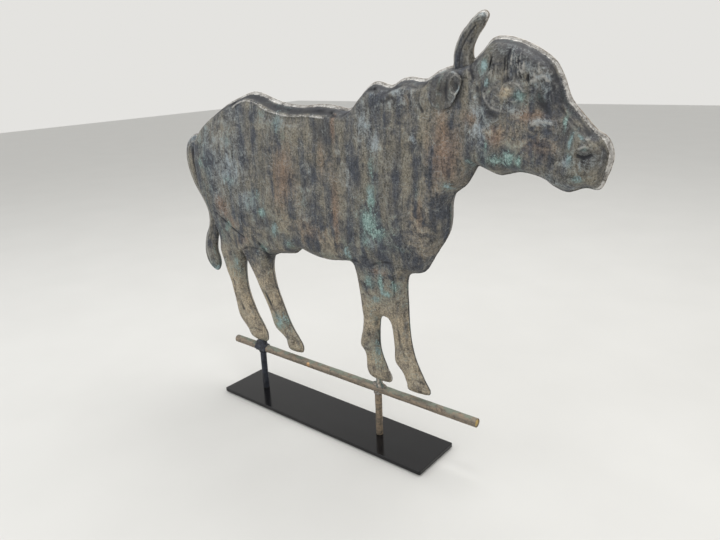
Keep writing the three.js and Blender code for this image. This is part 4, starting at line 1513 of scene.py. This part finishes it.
ROD_WALL = 1.2
TUBE_WALL = 1.0
SKIN = 0.05  # room for the unevenness inside the CAD surface
SADDLE = ROD_AXIS - ROD_RADIUS * 0.72  # where the uprights end, inside the lumps on the rod
SCUFF = -136  # where the rod is rubbed back to bright copper


def scuff(along, angles):
    """A rubbed spot on the upper right of the rod."""
    return 1.1 * hump(along, SCUFF, 4.0) * (0.35 - 0.65 * np.cos(angles - 0.5))


rod_start, rod_end = ((corner.x - SPINDLE_X) / MM for corner in (rod_low, rod_high))
rod = turned_piece("rod_pipe",
                   pipe_rings(rod_start, rod_end, ROD_RADIUS - SKIN, ROD_RADIUS - ROD_WALL),
                   lying, ROD_COPPER, 48, 0.09, 5, scuff)
finished(rod, "vane", "rod_copper", "rod_tube")

PLUG_RADIUS = ROD_RADIUS - ROD_WALL - 0.15
PLUG_PROFILE = [(0.5, 0), (0.5, 0.45), (0.65, 0.8), (1.1, 1), (8.5, 1), (8.5, 0)]
for end, mouth, inward in (("rear", rod_start, 1), ("front", rod_end, -1)):
    rings_of = [(mouth + inward * depth, PLUG_RADIUS * share) for depth, share in PLUG_PROFILE]
    plug = turned_piece(f"plug_{end}", rings_of, lying, BRASS, 40)
    finished(plug, "vane", "brass", f"rod_plug_{end}")


def upright(name, node, place, material, seed):
    """A tube that stands from its node's lower end up into the rod's joint."""
    bottom = (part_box(node)[0].z - ROD_TOP) / MM
    rings_of = pipe_rings(bottom, SADDLE, TUBE_RADIUS - SKIN, TUBE_RADIUS - TUBE_WALL)
    return turned_piece(name, rings_of, standing(place), material, 40, 0.07, seed)


spindle = upright("spindle_pipe", "spindle_tube", 0, TUBE_COPPER, 6)
finished(spindle, "vane", "tube_copper", "spindle_tube")
post = upright("rear_post_pipe", "rear_post", REAR_POST, IRON, 7)
finished(post, "vane", "blue_black", "rear_post")
print("faces:", {piece.name: len(piece.data.polygons) for piece in (rod, spindle, post)})

# %% [markdown]
# ## Lumps of solder and iron
#
# Where the tubes and hooves meet the rod, a lump of solder or black filler was wiped round the
# joint. Simple solids are joined into one skin with a voxel remesh, relaxed so that they flow
# into each other, and then roughened along their normals.


# %% Wiped lumps
def lump(name, solids, voxel, relax, rough, material, seed):
    """One skin round several solids, given as bmesh builders."""
    bm = bmesh.new()
    for build in solids:
        build(bm)
    mesh = bpy.data.meshes.new(name)
    bm.to_mesh(mesh)
    bm.free()
    piece = linked(name, mesh)
    remesh = piece.modifiers.new("skin", "REMESH")
    remesh.mode = "VOXEL"
    remesh.voxel_size = voxel * MM
    smooth = piece.modifiers.new("relax", "SMOOTH")
    smooth.iterations = relax
    applied(piece)
    mesh = piece.data
    points, normals = (point_values(mesh, what) for what in ("co", "normal"))
    draws = np.random.default_rng(seed)
    bumps = np.zeros(len(points))
    for _ in range(14):
        wave = draws.normal(0, 1, 3)
        wave *= draws.uniform(500, 1600) / np.linalg.norm(wave)
        bumps += np.sin(points @ wave + draws.uniform(0, 6.3))
    points += normals * (bumps / 4 * rough * MM)[:, None]
    mesh.vertices.foreach_set("co", points.ravel())
    shaded(mesh, True)
    mesh.materials.clear()
    mesh.materials.append(material)
    store_mask(mesh, "bare", np.clip(0.62 + bumps * 0.12, 0, 1))
    return piece


def ball(forward, across, up, radius, stretch=(1, 1, 1)):
    """A builder of a stretched ball, in pattern board millimetres."""
    place = Matrix.Translation(Vector(placed(forward, across, up)))
    size = Matrix.Diagonal((*stretch, 1))
    return lambda bm: bmesh.ops.create_icosphere(bm, subdivisions=3, radius=radius * MM,
                                                 matrix=place @ size)


def drum(start, end, radius_start, radius_end):
    """A builder of a capped cone between two places."""
    a, b = (Vector(placed(*place)) for place in (start, end))
    along = b - a
    turn = along.to_track_quat("Z", "Y").to_matrix().to_4x4()
    middle = Matrix.Translation((a + b) / 2) @ turn
    return lambda bm: bmesh.ops.create_cone(
        bm, cap_ends=True, segments=32, radius1=radius_start * MM, radius2=radius_end * MM,
        depth=along.length, matrix=middle)


PATCH_HALF = 12.5  # how far the filler reaches along the rod from the post
patch = lump("rear_post_lump", [
    drum((REAR_POST - PATCH_HALF, 0, ROD_AXIS), (REAR_POST + PATCH_HALF, 0, ROD_AXIS), 7.6, 7.9),
    drum((REAR_POST, 0, ROD_AXIS - 9), (REAR_POST, 0, ROD_AXIS), 6.2, 7.4),
    ball(REAR_POST + 1, 0, 3, 8, (1.15, 0.85, 0.95)),
    ball(REAR_POST - 6, 0, 1, 6),
    ball(REAR_POST + 8, -2, -2, 6),
], 0.8, 6, 0.35, IRON, 8)
finished(patch, "vane", "blue_black", "rear_post_patch")

spindle_lump = lump("spindle_solder_lump", [
    drum((0, 0, ROD_AXIS - 9.2), (0, 0, ROD_AXIS - 2), 5.7, 7.6),
    ball(-5, 0, ROD_AXIS - 5, 3.4),
    ball(5, 0, ROD_AXIS - 5, 3.2),
], 0.6, 4, 0.2, SOLDER, 9)
finished(spindle_lump, "vane", "solder", "spindle_solder")

foot_lump = lump("front_foot_lump", [
    drum((2, 0, -3), (3, 0, 13), 6.4, 3.6),
    ball(-3, 0, 0, 5.4, (1.2, 1, 0.7)),
    ball(8, -1, 0, 5.2, (1.5, 1, 0.6)),
    ball(3, -3, 5, 3.6),
], 0.6, 4, 0.3, SOLDER, 10)
finished(foot_lump, "vane", "solder", "front_foot_solder")
print("lumps:", [len(o.data.polygons) for o in (patch, spindle_lump, foot_lump)])

# %% [markdown]
# ## The plate
#
# The plate is the frame's own, copied and given a small bevel, because a gloss edge is seen by
# the bright line that it draws. The real one is flame-cut, ground and sprayed.


# %% Plate
PLATE_CORNER = 0.0025  # metres: how near the outline an edge of the rim lies
PLATE_BEVEL = 0.0006
SHARP_TURN = 1.2  # radians between the faces at an edge


def plate_piece():
    """The CAD plate, merged, with its outer edges bevelled."""
    mesh = frame["nodes"]["base_plate"].data.copy()
    low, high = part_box("base_plate")
    bm = bmesh.new()
    bm.from_mesh(mesh)
    bmesh.ops.remove_doubles(bm, verts=bm.verts, dist=SAME_PLACE)
    bmesh.ops.dissolve_limit(bm, angle_limit=0.02, verts=bm.verts, edges=bm.edges)

    def on_rim(edge):
        place = edge.verts[0].co
        gaps = (high.x - place.x, place.x - low.x, high.y - place.y, place.y - low.y)
        return edge.calc_face_angle(0) > SHARP_TURN and min(gaps) < PLATE_CORNER

    rim = [edge for edge in bm.edges if on_rim(edge)]
    bmesh.ops.bevel(bm, geom=rim, offset=PLATE_BEVEL, segments=3, profile=0.5, affect="EDGES")
    bmesh.ops.triangulate(bm, faces=bm.faces)
    bm.to_mesh(mesh)
    bm.free()
    mesh.materials.clear()
    mesh.materials.append(ENAMEL)
    mesh.polygons.foreach_set("use_smooth", [False] * len(mesh.polygons))
    return finished(linked("plate", mesh), "stand", "gloss_black", "base_plate")


plate = plate_piece()
print("plate:", len(plate.data.polygons), "faces")


# %% [markdown]
# ## The feet
#
# Four moulded rubber bumpers are stuck under the corners of the plate. One is turned here, and
# Geometry Nodes sets it out on the four places that the frame gives.


# %% Feet
def bumper():
    """One bumper foot at the origin: a flat bottom, a round shoulder and a glued top."""
    low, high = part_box("bumper_foot_front_right")
    radius = (high.x - low.x) / 2 / MM
    height = (high.z - low.z) / MM
    profile = [(0, 0), (0, radius - 0.7), (0.25, radius - 0.2), (0.7, radius), (height - 0.4, radius),
               (height, radius - 0.3), (height, 0)]

    def centred(along, a, b):
        return np.stack(np.broadcast_arrays(a, b, along), -1) * MM

    return turned_piece("bumper", profile, centred, RUBBER, 32)


def feet_tree():
    """Puts an object on every point of a mesh."""
    tree = Tree("feet", Finish="Material", Foot="Object")
    points = tree.add("GeometryNodeMeshToPoints", Mesh=tree.size("Geometry"))
    foot = tree.add("GeometryNodeObjectInfo", output="Geometry", Object=tree.size("Foot"))
    tree.end(tree.add("GeometryNodeInstanceOnPoints", Points=points, Instance=foot))
    return tree


def feet_piece():
    foot = bumper()
    names = [f"bumper_foot_{end}_{hand}" for end in ("front", "rear") for hand in SIDES]
    boxes = [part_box(name) for name in names]
    corners = [((low.x + high.x) / 2, (low.y + high.y) / 2, low.z) for low, high in boxes]
    source = path_object([(corners, False)])
    piece = feet_tree().run(source, "bumper_feet", Foot=foot, Finish=RUBBER)
    bpy.data.objects.remove(foot)
    return finished(piece, "stand", "rubber", *names)


feet = feet_piece()
print("feet:", len(feet.data.polygons), "faces")

# %% [markdown]
# ## Pieces of the frame that stay
#
# The pin, its screw, the ball it turns on, the thrust plug, the rods inside the legs and the
# brace are hidden inside. They keep their CAD shape and get a metal of their own.

# %% Carried-over pieces
KEPT = {
    "spindle_pin": STEEL, "spindle_screw": STEEL, "pivot_ball": STEEL, "front_leg_rod": STEEL,
    "rear_leg_rod": STEEL, "body_brace": STEEL, "thrust_plug": BRASS, "rear_post_foot": RUBBER,
}
for name, material in KEPT.items():
    materials = frame["nodes"][name].data.materials
    materials.clear()
    materials.append(material)
print("kept:", sorted(KEPT))


# %% [markdown]
# ## The floor
#
# A plain pale floor that is large enough to reach the horizon of every view.

# %% Floor
FLOOR_HALF = 6.0  # metres


def floor_finish():
    """Pale grey with a faint cloud."""
    finish = Finish("floor", Specular_IOR_Level=0.3)
    tone = finish.noise(6, 3, 0.5)
    finish.set("Base Color", finish.mix(tone, (0.58, 0.58, 0.57), (0.63, 0.63, 0.62)))
    finish.set("Roughness", 0.5 + tone * 0.1)
    return finish.material


corners = [(x * FLOOR_HALF, y * FLOOR_HALF, 0) for x, y in ((-1, -1), (1, -1), (1, 1), (-1, 1))]
floor = mesh_piece("floor", corners, [(0, 1, 2, 3)], floor_finish(), smooth=False)
